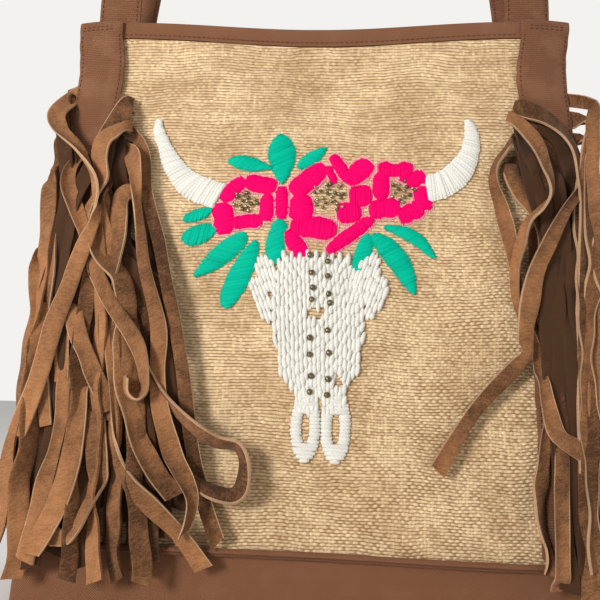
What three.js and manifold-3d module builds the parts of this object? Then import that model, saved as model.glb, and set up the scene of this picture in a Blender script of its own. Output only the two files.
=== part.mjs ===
// A fringe tote bag: jute walls on a canvas base, webbing bands with suede fringe, and stitched patches.
// Millimetres, +Z up, the front faces -Y. The origin is the middle of the base's underside.
import * as THREE from "three";
import { mergeVertices } from "three/addons/utils/BufferGeometryUtils.js";
import Module from "manifold-3d";

const wasm = await Module();
wasm.setup();

// Driving dimensions of the bag
const WIDTH = 352;
const HEIGHT = 400;
const BASE_DEPTH = 120;
const MOUTH_DEPTH = 44;
const JUTE = 1.6;
const PANEL_INSET = 1.5;
const PANEL_STEPS = 10;
const BACK_STEPS = 3;
const CANVAS = 1.6;
const GAP = 0.3;
const CORNER_TUCK = 4;
const CORNER_REACH = 34;
const MOUTH_SAG = 6;
const SIDE_BOW = 9;
const BAG_CORNER = 4;
const CORNER_STEPS = 2;
const SIDE_STEPS = 6;
const GUSSET_STEPS = 4;
// Where the walls' columns stand across the face, as shares of the half width: closer at the rounded edges
const COLUMNS = [-1, -0.95, -0.89, -0.82, -0.62, -0.42, -0.21, 0, 0.21, 0.42, 0.62, 0.82, 0.89, 0.95, 1];

const BOOT_HEIGHT = 36;
const BOOT_WALL = 2;
const BOOT_FLOOR = 3;
const PIPING_RADIUS = 2.4;
const PIPING_CLEAR = 0.8;
const PIPING_HALF_SIDES = 3;
const BINDING_HEIGHT = 14;
const BINDING_CLOTH = 1.2;

const STRAP_WIDTH = 31.5;
const STRAP_THICK = 2;
const STRAP_STEPS = 8;
const STRAP_TOP_INSET = 1;
const STRAP_CENTRE = WIDTH / 2 - STRAP_WIDTH / 2;
const SUEDE = 1.6;
const STRAP_LIFT = GAP + SUEDE + GAP;

const HANDLE_THICK = 2.5;
const HANDLE_RISE = 205;
const HANDLE_SEWN = 55;
const HANDLE_SPREAD = 12;
const HANDLE_CLEAR = 0.7;
const HANDLE_CENTRE = STRAP_CENTRE - 10;
const HANDLE_STEPS = 24;
const HANDLE_LIFT = 4;
// Webbing is two facets wide, so that it can follow the rounded edge of the face
const WEBBING_FACETS = 2;

const FRINGE_TOP = 352;
const FRINGE_BOTTOM = 214;
const STRIP_WIDTH = 11;
const STRIP_THICK = 1.4;
const STRIP_STEPS = 8;
const CURL_STEPS = 4;
const CURL_RADIUS = 13;
const BACKING_INSET = 1;
const BACKING_STEPS = 3;
// How a strip leaves the band: its hidden root, and the turn in its loop, a share of its length down
const ROOT_HIDDEN = 4;
const LOOP_TURN = 0.9;
const LOOP_PLACE = 0.13;
const LOOP_SPREAD = 0.07;
const SWAYS = 5;
// How far out strips hang: the first layer, each further one, the pile as roots add up, room at the piping
const LAYER_FIRST = 7;
const LAYER_STEP = 3;
const PILE = 0.05;
const PIPING_ROOM = 4;

const PATCH_THICK = 1.4;
const PATCH_GAP = 0.5;
const PATCH_LIFT = 0.4;
const FLOWER_POINTS = 32;
const LEAF_STEPS = 5;
const OVAL_POINTS = 10;

// Shallow dents and swells of the jute: place, depth (inward is positive) and reach each way
const DENTS = [
  { x: 18, z: 352, depth: 4, reachX: 70, reachZ: 30 },
  { x: 12, z: 60, depth: 5, reachX: 46, reachZ: 20 },
  { x: 96, z: 62, depth: -4, reachX: 50, reachZ: 30 },
  { x: -96, z: 58, depth: -3, reachX: 44, reachZ: 28 },
];

// Fringe strips: the band's edge each leaves, the height of its root, how far it loops out, its length down,
// its place across the band's middle at each quarter of the way down, its layer, its twist in degrees and,
// where its end hooks round, how far in degrees
const FRINGE_LEFT = [
  { edge: -1, root: 338, reach: 12, drop: 228, a: 8, b: 20, c: 4, d: -1, layer: 5, twist: 6 },
  { edge: -1, root: 324, reach: 8, drop: 225, a: -10, b: -4, c: -6, d: -10, layer: 4, twist: -9 },
  { edge: -1, root: 310, reach: 6, drop: 162, a: -6, b: 10, c: 36, d: 67, layer: 4, twist: 10, curl: -190 },
  { edge: -1, root: 296, reach: 10, drop: 268, a: -14, b: -16, c: -16, d: -20, layer: 1, twist: 9 },
  { edge: -1, root: 282, reach: 8, drop: 262, a: -23, b: -24, c: -25, d: -28, layer: 0, twist: 5 },
  { edge: -1, root: 268, reach: 5, drop: 248, a: 4, b: 14, c: 28, d: 34, layer: 1, twist: -7 },
  { edge: -1, root: 254, reach: 6, drop: 216, a: -1, b: 4, c: 7, d: 2, layer: 2, twist: -6 },
  { edge: -1, root: 240, reach: 5, drop: 204, a: 12, b: 21, c: 21, d: 6, layer: 4, twist: 10 },
  { edge: -1, root: 226, reach: 9, drop: 208, a: -10, b: -8, c: -6, d: -4, layer: 0, twist: -9 },
  { edge: 1, root: 338, reach: 4, drop: 295, a: 21, b: 9, c: 38, d: 30, layer: 3, twist: -11 },
  { edge: 1, root: 325, reach: 27, drop: 282, a: 54, b: 79, c: 91, d: 113, layer: 1, twist: -8 },
  { edge: 1, root: 312, reach: 18, drop: 261, a: 47, b: 70, c: 78, d: 97, layer: 2, twist: 7 },
  { edge: 1, root: 298, reach: 6, drop: 268, a: 40, b: 44, c: 57, d: 109, layer: 3, twist: -7 },
  { edge: 1, root: 284, reach: 8, drop: 186, a: 48, b: 60, c: 73, d: 118, layer: 0, twist: 10, curl: -150 },
  { edge: 1, root: 270, reach: 5, drop: 250, a: 34, b: 42, c: 49, d: 56, layer: 1, twist: 8 },
  { edge: 1, root: 256, reach: 5, drop: 236, a: 26, b: 31, c: 37, d: 44, layer: 0, twist: 7 },
  { edge: 1, root: 242, reach: 6, drop: 174, a: 42, b: 47, c: 56, d: 86, layer: 4, twist: -8 },
  { edge: 1, root: 228, reach: 7, drop: 208, a: 46, b: 56, c: 64, d: 72, layer: 0, twist: -5 },
];
const FRINGE_RIGHT = [
  { edge: -1, root: 336, reach: 5, drop: 247, a: 6, b: 4, c: -6, d: -8, layer: 4, twist: 8 },
  { edge: -1, root: 322, reach: 8, drop: 152, a: -10, b: -10, c: -27, d: -31, layer: 3, twist: -13 },
  { edge: -1, root: 308, reach: 24, drop: 148, a: -40, b: -35, c: -30, d: -27, layer: 1, twist: 11 },
  { edge: -1, root: 292, reach: 6, drop: 190, a: -18, b: -20, c: -23, d: -24, layer: 0, twist: -9 },
  { edge: -1, root: 270, reach: 6, drop: 234, a: -20, b: -16, c: -12, d: -12, layer: 1, twist: 12 },
  { edge: -1, root: 248, reach: 6, drop: 206, a: -23, b: -22, c: -20, d: -18, layer: 3, twist: 6 },
  { edge: -1, root: 226, reach: 5, drop: 208, a: -6, b: -2, c: 2, d: 4, layer: 0, twist: -6 },
  { edge: 1, root: 338, reach: 14, drop: 250, a: 22, b: 22, c: 15, d: 12, layer: 3, twist: 10 },
  { edge: 1, root: 323, reach: 10, drop: 283, a: 12, b: 4, c: -2, d: -4, layer: 2, twist: -7 },
  { edge: 1, root: 308, reach: 8, drop: 270, a: 15, b: 12, c: 8, d: 8, layer: 0, twist: -12 },
  { edge: 1, root: 293, reach: 6, drop: 203, a: -9, b: -25, c: -47, d: -83, layer: 5, twist: 7 },
  { edge: 1, root: 278, reach: 6, drop: 240, a: -5, b: -10, c: -10, d: -9, layer: 2, twist: -10 },
  { edge: 1, root: 262, reach: 8, drop: 242, a: 20, b: 22, c: 23, d: 24, layer: 1, twist: 7 },
  { edge: 1, root: 245, reach: 8, drop: 225, a: 26, b: 28, c: 29, d: 28, layer: 0, twist: -8 },
  { edge: 1, root: 228, reach: 5, drop: 209, a: 8, b: 5, c: 2, d: 0, layer: 4, twist: 9 },
];

// Stitched leaves: the root's place on the front, the tip's length and direction in degrees, and the width
const LEAVES = [
  { x: -29, z: 284, length: 31, width: 10, angle: 167 },
  { x: -19, z: 273, length: 37, width: 18, angle: 97 },
  { x: -11, z: 283, length: 27, width: 11, angle: 40 },
  { x: -67, z: 253, length: 22, width: 8.5, angle: 196 },
  { x: -64, z: 241, length: 26, width: 12, angle: 208 },
  { x: -43, z: 236, length: 46, width: 12.5, angle: 222 },
  { x: -35, z: 232, length: 51, width: 12.5, angle: 243 },
  { x: -21, z: 246, length: 31, width: 13, angle: 263 },
  { x: 38, z: 236, length: 29, width: 11.5, angle: 251 },
  { x: 42, z: 239, length: 50, width: 16, angle: -55 },
  { x: 49, z: 243, length: 40, width: 9.5, angle: -32 },
];

// Stitched flowers: each petal's direction and distance from the middle, its size along and across the ring
const FLOWERS = {
  flower_left: {
    x: -45,
    z: 258,
    middle: 11,
    petals: [
      { angle: 144, distance: 13, along: 20, across: 12 },
      { angle: 56, distance: 16, along: 22, across: 11 },
      { angle: -13, distance: 15, along: 18, across: 10 },
      { angle: 273, distance: 14, along: 21, across: 10 },
      { angle: 212, distance: 18, along: 21, across: 13 },
    ],
  },
  flower_middle: {
    x: 12,
    z: 264,
    middle: 17,
    petals: [
      { angle: 145, distance: 19, along: 25, across: 14 },
      { angle: 200, distance: 20, along: 18, across: 14 },
      { angle: 251, distance: 25, along: 28, across: 14 },
      { angle: 236, distance: 38, along: 16, across: 12 },
      { angle: -62, distance: 32, along: 34, across: 10 },
      { angle: -34, distance: 19, along: 20, across: 14 },
      { angle: 8, distance: 22, along: 18, across: 14 },
      { angle: 53, distance: 24, along: 26, across: 14 },
      { angle: 87, distance: 16, along: 16, across: 9 },
    ],
  },
  flower_right: {
    x: 61,
    z: 269,
    middle: 11,
    petals: [
      { angle: 108, distance: 15, along: 23, across: 11 },
      { angle: 167, distance: 15, along: 19, across: 10 },
      { angle: 228, distance: 17, along: 22, across: 13 },
      { angle: -67, distance: 17, along: 22, across: 12 },
      { angle: 0, distance: 15, along: 20, across: 11 },
      { angle: 47, distance: 13, along: 17, across: 12 },
    ],
  },
  petal_bar: { x: -21, z: 259, middle: 3, petals: [{ angle: 0, distance: 0, along: 20, across: 8 }] },
};

// The stitched skull: the face's middle and half width by height, the ears and the two loops of the muzzle
const SKULL_FACE = [
  { z: 225, x: 4, half: 22 },
  { z: 205, x: 5, half: 29.5 },
  { z: 192, x: 6.5, half: 31.5 },
  { z: 179, x: 7, half: 31 },
  { z: 166, x: 8, half: 29.5 },
  { z: 153, x: 8.5, half: 28 },
  { z: 143, x: 9, half: 24.5 },
  { z: 134, x: 10, half: 18.5 },
  { z: 126, x: 10.5, half: 16 },
];
const SKULL_EARS = [
  { x: -22, z: 199, length: 27, width: 9, angle: 120 },
  { x: -20, z: 175, length: 37, width: 10, angle: 120 },
  { x: 31, z: 193, length: 36, width: 12, angle: 66 },
  { x: 37, z: 176, length: 35, width: 10, angle: 70 },
];
const MUZZLE = {
  x: 11,
  z: 111,
  offset: 9.4,
  halfWidth: 9.8,
  halfHeight: 22,
  slotHalfWidth: 1.6,
  slotHalfHeight: 8,
};

// Horns: the middle line and the width from root to tip
const HORN_LEFT = [
  { x: -62, z: 264, width: 22 },
  { x: -81, z: 274, width: 18.5 },
  { x: -94, z: 290, width: 14.5 },
  { x: -104, z: 306, width: 9 },
  { x: -111, z: 321, width: 4 },
];
const HORN_RIGHT = [
  { x: 79, z: 270, width: 20 },
  { x: 96, z: 284, width: 17 },
  { x: 104, z: 298, width: 12 },
  { x: 108, z: 309, width: 8 },
  { x: 106, z: 320, width: 4 },
];

// Materials
function finish(colour, roughness, metalness = 0) {
  return new THREE.MeshStandardMaterial({ color: colour, roughness, metalness });
}
const JUTE_CLOTH = finish(0xd2aa72, 0.95);
const BROWN_CANVAS = finish(0x7a4a30, 0.9);
const BROWN_WEBBING = finish(0x80503a, 0.85);
const TAN_SUEDE = finish(0x94602f, 0.95);
const WHITE_YARN = finish(0xf3f1ea, 0.8);
const PINK_FLOSS = finish(0xf0006e, 0.6);
const GREEN_FLOSS = finish(0x00c896, 0.6);

// Front surface of the bag
const LEAN = (BASE_DEPTH - MOUTH_DEPTH) / 2 / HEIGHT;

function halfDepth(z) {
  return BASE_DEPTH / 2 - LEAN * z;
}

function cornerTuck(x) {
  const inside = Math.max(0, (Math.abs(x) - (WIDTH / 2 - CORNER_REACH)) / CORNER_REACH);
  return CORNER_TUCK * Math.min(1, inside) ** 2;
}

function dentDepth(x, z) {
  let depth = 0;
  for (const dent of DENTS) {
    const across = (x - dent.x) / dent.reachX;
    const up = (z - dent.z) / dent.reachZ;
    depth += dent.depth * Math.exp(-(across ** 2) - up ** 2);
  }
  return depth;
}

// The point of the front that lies this far out from the jute
function onFront(x, z, lift = 0) {
  return new THREE.Vector3(x, -halfDepth(z) + cornerTuck(x) + dentDepth(x, z) - lift, z);
}

// The same on the plain back
function onBack(x, z, lift = 0) {
  return new THREE.Vector3(x, halfDepth(z) - cornerTuck(x) + lift, z);
}

function mouthSag(x) {
  const reach = STRAP_CENTRE - STRAP_WIDTH / 2;
  return Math.abs(x) < reach ? MOUTH_SAG * Math.cos((Math.PI * x) / (2 * reach)) ** 2 : 0;
}

// A closed solid from rows of two point lists, the outer and the inner skin of a wall; a ring joins its ends
function wallGeometry(rows, ring = false) {
  const count = rows[0].outer.length;
  const position = [];
  const index = [];
  for (const row of rows) {
    for (const point of row.outer) position.push(point.x, point.y, point.z);
    for (const point of row.inner) position.push(point.x, point.y, point.z);
  }
  const outer = (row, k) => (row % rows.length) * 2 * count + k;
  const inner = (row, k) => outer(row, k) + count;
  const quad = (a, b, c, d) => index.push(a, b, c, a, c, d);
  const last = ring ? rows.length : rows.length - 1;
  for (let r = 0; r < last; r++) {
    for (let k = 0; k < count - 1; k++) {
      quad(outer(r, k), outer(r, k + 1), outer(r + 1, k + 1), outer(r + 1, k));
      quad(inner(r, k), inner(r + 1, k), inner(r + 1, k + 1), inner(r, k + 1));
    }
    quad(outer(r, 0), outer(r + 1, 0), inner(r + 1, 0), inner(r, 0));
    quad(outer(r, count - 1), inner(r, count - 1), inner(r + 1, count - 1), outer(r + 1, count - 1));
  }
  for (let k = 0; k < count - 1 && !ring; k++) {
    quad(outer(0, k), inner(0, k), inner(0, k + 1), outer(0, k + 1));
    quad(outer(last, k), outer(last, k + 1), inner(last, k + 1), inner(last, k));
  }
  const geometry = new THREE.BufferGeometry();
  geometry.setAttribute("position", new THREE.Float32BufferAttribute(position, 3));
  geometry.setIndex(index);
  return facingOut(geometry);
}

function solidOf(geometry) {
  const bare = geometry.clone();
  bare.deleteAttribute("normal");
  bare.deleteAttribute("uv");
  const merged = mergeVertices(bare, 1e-4);
  const vertProperties = merged.attributes.position.array;
  const triVerts = new Uint32Array(merged.index.array);
  return new wasm.Manifold(new wasm.Mesh({ numProp: 3, vertProperties, triVerts }));
}

function geometryOf(solid) {
  const { numProp, numVert, vertProperties, triVerts } = solid.getMesh();
  const position = new Float32Array(numVert * 3);
  for (let i = 0; i < numVert; i++) {
    position.set(vertProperties.subarray(i * numProp, i * numProp + 3), i * 3);
  }
  const geometry = new THREE.BufferGeometry();
  geometry.setAttribute("position", new THREE.BufferAttribute(position, 3));
  geometry.setIndex(new THREE.BufferAttribute(new Uint32Array(triVerts), 1));
  return geometry;
}

function facingOut(geometry) {
  if (solidOf(geometry).volume() > 0) return geometry;
  const index = geometry.index.array;
  for (let i = 0; i < index.length; i += 3) [index[i + 1], index[i + 2]] = [index[i + 2], index[i + 1]];
  return geometry;
}

function largestBody(solid) {
  return solid.decompose().reduce((best, body) => (body.volume() > best.volume() ? body : best));
}

function steps(count) {
  return Array.from({ length: count + 1 }, (_, i) => i / count);
}

const bag = new THREE.Group();
function addPiece(name, geometry, material) {
  const piece = new THREE.Mesh(geometry, material);
  piece.name = name;
  bag.add(piece);
}

// Jute walls, from the boot's seam to the binding
function panelGeometry(onFace, up, grow = 0) {
  const half = WIDTH / 2 - PANEL_INSET;
  const low = BOOT_HEIGHT + GAP;
  const rows = steps(up).map((v) => {
    const place = (column, lift) => {
      const x = half * column;
      const high = HEIGHT - BINDING_HEIGHT - GAP - mouthSag(x);
      return onFace(x, low + (high - low) * v, lift);
    };
    const skin = (lift) => COLUMNS.map((column) => place(column, lift));
    return { outer: skin(grow), inner: skin(-JUTE) };
  });
  return wallGeometry(rows);
}

// Canvas gussets between the two jute walls, bowed inward towards the mouth
function sideBow(share, z) {
  return SIDE_BOW * Math.sin(Math.PI * share) * (z / HEIGHT);
}

function gussetGeometry(side) {
  const low = BOOT_HEIGHT + GAP;
  const high = HEIGHT - BINDING_HEIGHT - GAP;
  const rows = steps(GUSSET_STEPS).map((v) => {
    const z = low + (high - low) * v;
    const reach = halfDepth(z) - CORNER_TUCK - JUTE - GAP;
    const place = (u, inset) => {
      return new THREE.Vector3(side * (WIDTH / 2 - inset - sideBow(u, z)), reach * (2 * u - 1), z);
    };
    const skin = (inset) => steps(SIDE_STEPS).map((u) => place(u, inset));
    return { outer: skin(0), inner: skin(CANVAS) };
  });
  return wallGeometry(rows);
}

// A rounded rectangle's points and outward directions, from above
function roundedOutline(halfWidth, halfDeep, radius) {
  const points = [];
  const corners = [
    { x: 1, y: 1, start: 0 },
    { x: -1, y: 1, start: Math.PI / 2 },
    { x: -1, y: -1, start: Math.PI },
    { x: 1, y: -1, start: 1.5 * Math.PI },
  ];
  corners.forEach((corner, i) => {
    const centre = new THREE.Vector2(corner.x * (halfWidth - radius), corner.y * (halfDeep - radius));
    for (const share of steps(CORNER_STEPS)) {
      const angle = corner.start + (share * Math.PI) / 2;
      const out = new THREE.Vector2(Math.cos(angle), Math.sin(angle));
      points.push({ at: centre.clone().addScaledVector(out, radius), out });
    }
    const next = corners[(i + 1) % corners.length];
    const from = points[points.length - 1];
    const to = new THREE.Vector2(next.x * (halfWidth - radius), next.y * (halfDeep - radius));
    to.addScaledVector(from.out, radius);
    const alongFace = i % 2 === 0;
    const shares = alongFace ? COLUMNS.map((column) => (column + 1) / 2) : steps(SIDE_STEPS);
    for (const share of shares.slice(1, -1)) {
      points.push({ at: from.at.clone().lerp(to, share), out: from.out.clone() });
    }
  });
  return points;
}

// The bag's outer surface at one height: swelled faces, bowed sides
function bagOutline(z) {
  const deep = halfDepth(z) - CORNER_TUCK;
  const ring = roundedOutline(WIDTH / 2, deep, BAG_CORNER);
  for (const { at, out } of ring) {
    const share = THREE.MathUtils.clamp((at.y / deep + 1) / 2, 0, 1);
    const swell = (CORNER_TUCK - cornerTuck(at.x)) * Math.abs(out.y);
    const dent = out.y < -0.5 ? dentDepth(at.x, z) : 0;
    at.x -= Math.abs(out.x) > 0.9 ? Math.sign(out.x) * sideBow(share, z) : 0;
    at.y += Math.sign(out.y) * (swell - dent);
  }
  return ring;
}

function flatPoint(place, lift, z) {
  return new THREE.Vector3(place.at.x + place.out.x * lift, place.at.y + place.out.y * lift, z);
}

// The canvas boot: a tray with leaning walls
function bootGeometry() {
  const low = bagOutline(0);
  const high = bagOutline(BOOT_HEIGHT);
  const rows = low.map((place, i) => ({
    outer: [flatPoint(place, 0, 0), flatPoint(high[i], 0, BOOT_HEIGHT)],
    inner: [flatPoint(place, -BOOT_WALL, 0), flatPoint(high[i], -BOOT_WALL, BOOT_HEIGHT)],
  }));
  const outline = low.map((place) => place.at.clone().addScaledVector(place.out, -BOOT_WALL / 2));
  const slab = { depth: BOOT_FLOOR, bevelEnabled: false };
  const floor = new THREE.ExtrudeGeometry(new THREE.Shape(outline), slab);
  return geometryOf(solidOf(wallGeometry(rows, true)).add(solidOf(floor)));
}

// Corded piping round the boot's top seam
function pipingGeometry() {
  const lift = PIPING_RADIUS + PIPING_CLEAR;
  const rows = bagOutline(BOOT_HEIGHT).map((place) => {
    const round = (share) => {
      const angle = 2 * Math.PI * share;
      const out = lift + PIPING_RADIUS * Math.cos(angle);
      return flatPoint(place, out, BOOT_HEIGHT + PIPING_RADIUS * Math.sin(angle));
    };
    const half = steps(PIPING_HALF_SIDES);
    return { outer: half.map((t) => round(t / 2)), inner: half.map((t) => round(1 - t / 2)) };
  });
  return wallGeometry(rows, true);
}

// Folded binding that sits on the walls' top edges
function bindingGeometry() {
  const low = bagOutline(HEIGHT - BINDING_HEIGHT);
  const high = bagOutline(HEIGHT);
  const rows = low.map((place, i) => {
    const top = HEIGHT - mouthSag(place.at.x);
    const skin = (lift) => [flatPoint(place, lift, top - BINDING_HEIGHT), flatPoint(high[i], lift, top)];
    return { outer: skin(BINDING_CLOTH), inner: skin(-JUTE - BINDING_CLOTH) };
  });
  return wallGeometry(rows, true);
}

// Webbing bands up the face, from the piping to the mouth
function strapGeometry(onFace, side, grow = 0) {
  const low = BOOT_HEIGHT + 2 * PIPING_RADIUS + GAP - grow;
  const high = HEIGHT - STRAP_TOP_INSET + grow;
  const half = STRAP_WIDTH / 2 + grow;
  const rows = steps(STRAP_STEPS).map((v) => {
    const z = low + (high - low) * v;
    const place = (u, lift) => onFace(side * STRAP_CENTRE + half * (2 * u - 1), z, lift);
    return {
      outer: steps(WEBBING_FACETS).map((u) => place(u, STRAP_LIFT + STRAP_THICK + grow)),
      inner: steps(WEBBING_FACETS).map((u) => place(u, STRAP_LIFT - grow)),
    };
  });
  return wallGeometry(rows);
}

// Handles: sewn flat inside the mouth, then an arch that turns its flat side up towards the top
function handleGeometry(face) {
  const clear = JUTE + BINDING_CLOTH + HANDLE_CLEAR + HANDLE_THICK / 2;
  const across = new THREE.Vector3(0, 1, 0);
  const rows = [];
  const addRow = (centre, wide, thin, cup) => {
    const skin = (t) =>
      steps(WEBBING_FACETS).map((u) => {
        const w = (u - 0.5) * STRAP_WIDTH;
        const point = centre.clone().addScaledVector(wide, w).addScaledVector(thin, t * HANDLE_THICK * 0.5);
        point.y -= face * cup * cornerTuck(Math.abs(centre.x) + Math.sign(centre.x) * wide.x * w);
        return point;
      });
    rows.push({ outer: skin(1), inner: skin(-1) });
  };
  const addSewnEnd = (side) => {
    const z = HEIGHT - HANDLE_SEWN;
    const centre = new THREE.Vector3(side * HANDLE_CENTRE, face * (halfDepth(z) - clear), z);
    addRow(centre, new THREE.Vector3(side, 0, 0), across, 1);
  };
  const rootY = halfDepth(HEIGHT) - clear;
  addSewnEnd(1);
  for (const share of steps(HANDLE_STEPS)) {
    const angle = Math.PI * share;
    const rise = Math.sin(angle);
    const along = new THREE.Vector3(-HANDLE_CENTRE * rise, 0, HANDLE_RISE * Math.cos(angle)).normalize();
    const turn = (Math.PI / 2) * THREE.MathUtils.smoothstep(rise, 0.1, 0.85);
    const wide = new THREE.Vector3(along.z, 0, -along.x).multiplyScalar(Math.cos(turn));
    wide.addScaledVector(across, Math.sin(turn));
    const thin = new THREE.Vector3().crossVectors(along, wide);
    const centre = new THREE.Vector3(
      HANDLE_CENTRE * Math.cos(angle),
      face * (rootY + HANDLE_SPREAD * rise),
      HEIGHT + HANDLE_LIFT + HANDLE_RISE * rise,
    );
    addRow(centre, wide, thin, 1 - THREE.MathUtils.smoothstep(rise, 0, 0.3));
  }
  addSewnEnd(-1);
  return wallGeometry(rows);
}

// The hooked end of a strip, which comes down to the right and turns back under itself
function curlPoints(strip, end, liftAt) {
  const heading = Math.PI / 4;
  const centreX = end.x - CURL_RADIUS * Math.cos(heading);
  const centreZ = end.z - CURL_RADIUS * Math.sin(heading);
  return [0.35, 0.7, 1].map((share) => {
    const angle = heading + THREE.MathUtils.degToRad(strip.curl) * share;
    const z = centreZ + CURL_RADIUS * Math.sin(angle);
    return onFront(centreX + CURL_RADIUS * Math.cos(angle), z, liftAt(z));
  });
}

// Suede fringe: strips that leave the backing sideways, loop forward and hang down
function stripCurve(strip, side) {
  const half = STRAP_WIDTH / 2;
  const middle = side * STRAP_CENTRE;
  const layer = LAYER_FIRST + LAYER_STEP * strip.layer;
  const piled = (z) => layer + PILE * (strip.root - Math.max(z, FRINGE_BOTTOM));
  const rootLift = GAP + SUEDE / 2;
  const out = (reach) => middle + strip.edge * (half + reach);
  const underLoop = strip.root - 1.2 * strip.reach - STRIP_WIDTH;
  const points = [
    onFront(out(-ROOT_HIDDEN), strip.root, rootLift),
    onFront(out(SUEDE), strip.root, rootLift + GAP),
    onFront(out(strip.reach), strip.root - 0.4 * strip.reach, rootLift + layer / 2),
    onFront(out(0.7 * strip.reach), underLoop, piled(underLoop)),
  ];
  [strip.a, strip.b, strip.c, strip.d].forEach((offset, i) => {
    const z = strip.root - (strip.drop * (i + 1)) / 4;
    const overPiping = PIPING_ROOM * (1 - THREE.MathUtils.smoothstep(z, BOOT_HEIGHT / 2, 2.5 * BOOT_HEIGHT));
    points.push(onFront(middle + offset, z, piled(z) + overPiping));
  });
  if (strip.curl) points.push(...curlPoints(strip, points[points.length - 1], piled));
  return new THREE.CatmullRomCurve3(points, false, "centripetal");
}

function stripGeometry(strip, side) {
  const curve = stripCurve(strip, side);
  const count = STRIP_STEPS + (strip.curl ? CURL_STEPS : 0);
  const hang = THREE.MathUtils.degToRad(strip.twist);
  const rows = steps(count).map((step) => {
    const share = step ** 1.5;
    const centre = curve.getPointAt(share);
    const along = curve.getTangentAt(share);
    const toViewer = new THREE.Vector3(0, -1, 0);
    const wide = new THREE.Vector3().crossVectors(along, toViewer).normalize();
    const loop = Math.exp(-(((share - LOOP_PLACE) / LOOP_SPREAD) ** 2));
    const hanging = THREE.MathUtils.smoothstep(share, LOOP_PLACE, 2 * LOOP_PLACE);
    const sway = Math.sin(SWAYS * share + strip.root);
    wide.applyAxisAngle(along, strip.edge * LOOP_TURN * loop + hang * hanging * sway);
    const thin = new THREE.Vector3().crossVectors(wide, along).normalize();
    const corner = (w, t) => {
      const across = wide.clone().multiplyScalar((w * STRIP_WIDTH) / 2);
      return across.addScaledVector(thin, (t * STRIP_THICK) / 2).add(centre);
    };
    return { outer: [corner(-1, 1), corner(1, 1)], inner: [corner(-1, -1), corner(1, -1)] };
  });
  return wallGeometry(rows);
}

function backingGeometry(side) {
  const half = STRAP_WIDTH / 2 - BACKING_INSET;
  const rows = steps(BACKING_STEPS).map((v) => {
    const z = FRINGE_BOTTOM + (FRINGE_TOP - FRINGE_BOTTOM) * v;
    const place = (u, lift) => onFront(side * STRAP_CENTRE + half * (2 * u - 1), z, lift);
    const skin = (lift) => steps(WEBBING_FACETS).map((u) => place(u, lift));
    return { outer: skin(GAP + SUEDE), inner: skin(GAP) };
  });
  return wallGeometry(rows);
}

function fringeGeometry(strips, side) {
  let fringe = solidOf(backingGeometry(side));
  for (const strip of strips) fringe = fringe.add(solidOf(stripGeometry(strip, side)));
  const band = solidOf(strapGeometry(onFront, side, GAP));
  const wall = solidOf(panelGeometry(onFront, PANEL_STEPS, GAP / 2));
  return geometryOf(largestBody(fringe.subtract(band).subtract(wall)));
}

// Stitched patches on the front: an outline in the plane of the jute, raised by the thread's thickness
function patchSolid(outline, grow = 0) {
  const top = PATCH_LIFT + PATCH_THICK + grow;
  const bottom = PATCH_LIFT - grow;
  if (THREE.ShapeUtils.isClockWise(outline)) outline.reverse();
  const faces = THREE.ShapeUtils.triangulateShape(outline, []);
  const count = outline.length;
  const position = [];
  for (const lift of [top, bottom]) {
    for (const point of outline) position.push(...onFront(point.x, point.y, lift).toArray());
  }
  const index = [];
  for (const [a, b, c] of faces) index.push(a, b, c, count + a, count + c, count + b);
  for (let i = 0; i < count; i++) {
    const next = (i + 1) % count;
    index.push(i, count + i, count + next, i, count + next, next);
  }
  const geometry = new THREE.BufferGeometry();
  geometry.setAttribute("position", new THREE.Float32BufferAttribute(position, 3));
  geometry.setIndex(index);
  return solidOf(facingOut(geometry));
}

function turned(x, y, degrees, at) {
  const angle = THREE.MathUtils.degToRad(degrees);
  return new THREE.Vector2(
    at.x + x * Math.cos(angle) - y * Math.sin(angle),
    at.z + x * Math.sin(angle) + y * Math.cos(angle),
  );
}

function leafOutline(leaf, grow = 0) {
  const length = leaf.length + 2 * grow;
  const half = leaf.width / 2 + grow;
  const bulge = (t) => half * Math.sin(Math.PI * t) ** 0.8;
  const upper = steps(LEAF_STEPS).map((t) => ({ x: length * t - grow, y: bulge(t) }));
  const lower = upper.slice(1, -1).reverse().map((p) => ({ x: p.x, y: -p.y }));
  return [...upper, ...lower].map((p) => turned(p.x, p.y, leaf.angle, leaf));
}

// How far from the flower's middle a petal reaches in one direction; petals are ovals
function petalReach(petal, direction, grow) {
  const turn = direction - THREE.MathUtils.degToRad(petal.angle);
  const deep = (petal.across / 2 + grow) ** 2;
  const broad = (petal.along / 2 + grow) ** 2;
  const square = Math.cos(turn) ** 2 / deep + Math.sin(turn) ** 2 / broad;
  const linear = (petal.distance * Math.cos(turn)) / deep;
  const inside = linear ** 2 - square * (petal.distance ** 2 / deep - 1);
  return inside > 0 ? (linear + Math.sqrt(inside)) / square : 0;
}

// A flower's scalloped outline: the petals' far edges round a middle, which the beads cover
function flowerOutline(flower, grow = 0) {
  return steps(FLOWER_POINTS).slice(1).map((share) => {
    const direction = 2 * Math.PI * share;
    const reaches = flower.petals.map((petal) => petalReach(petal, direction, grow));
    const reach = Math.max(flower.middle + grow, ...reaches);
    return new THREE.Vector2(flower.x + reach * Math.cos(direction), flower.z + reach * Math.sin(direction));
  });
}

function ribbonOutline(stations, grow = 0) {
  const left = [];
  const right = [];
  stations.forEach((station, i) => {
    const before = stations[Math.max(0, i - 1)];
    const after = stations[Math.min(stations.length - 1, i + 1)];
    const along = new THREE.Vector2(after.x - before.x, after.z - before.z).normalize();
    const half = station.width / 2 + grow;
    left.push(new THREE.Vector2(station.x - along.y * half, station.z + along.x * half));
    right.unshift(new THREE.Vector2(station.x + along.y * half, station.z - along.x * half));
  });
  return [...left, ...right];
}

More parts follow.
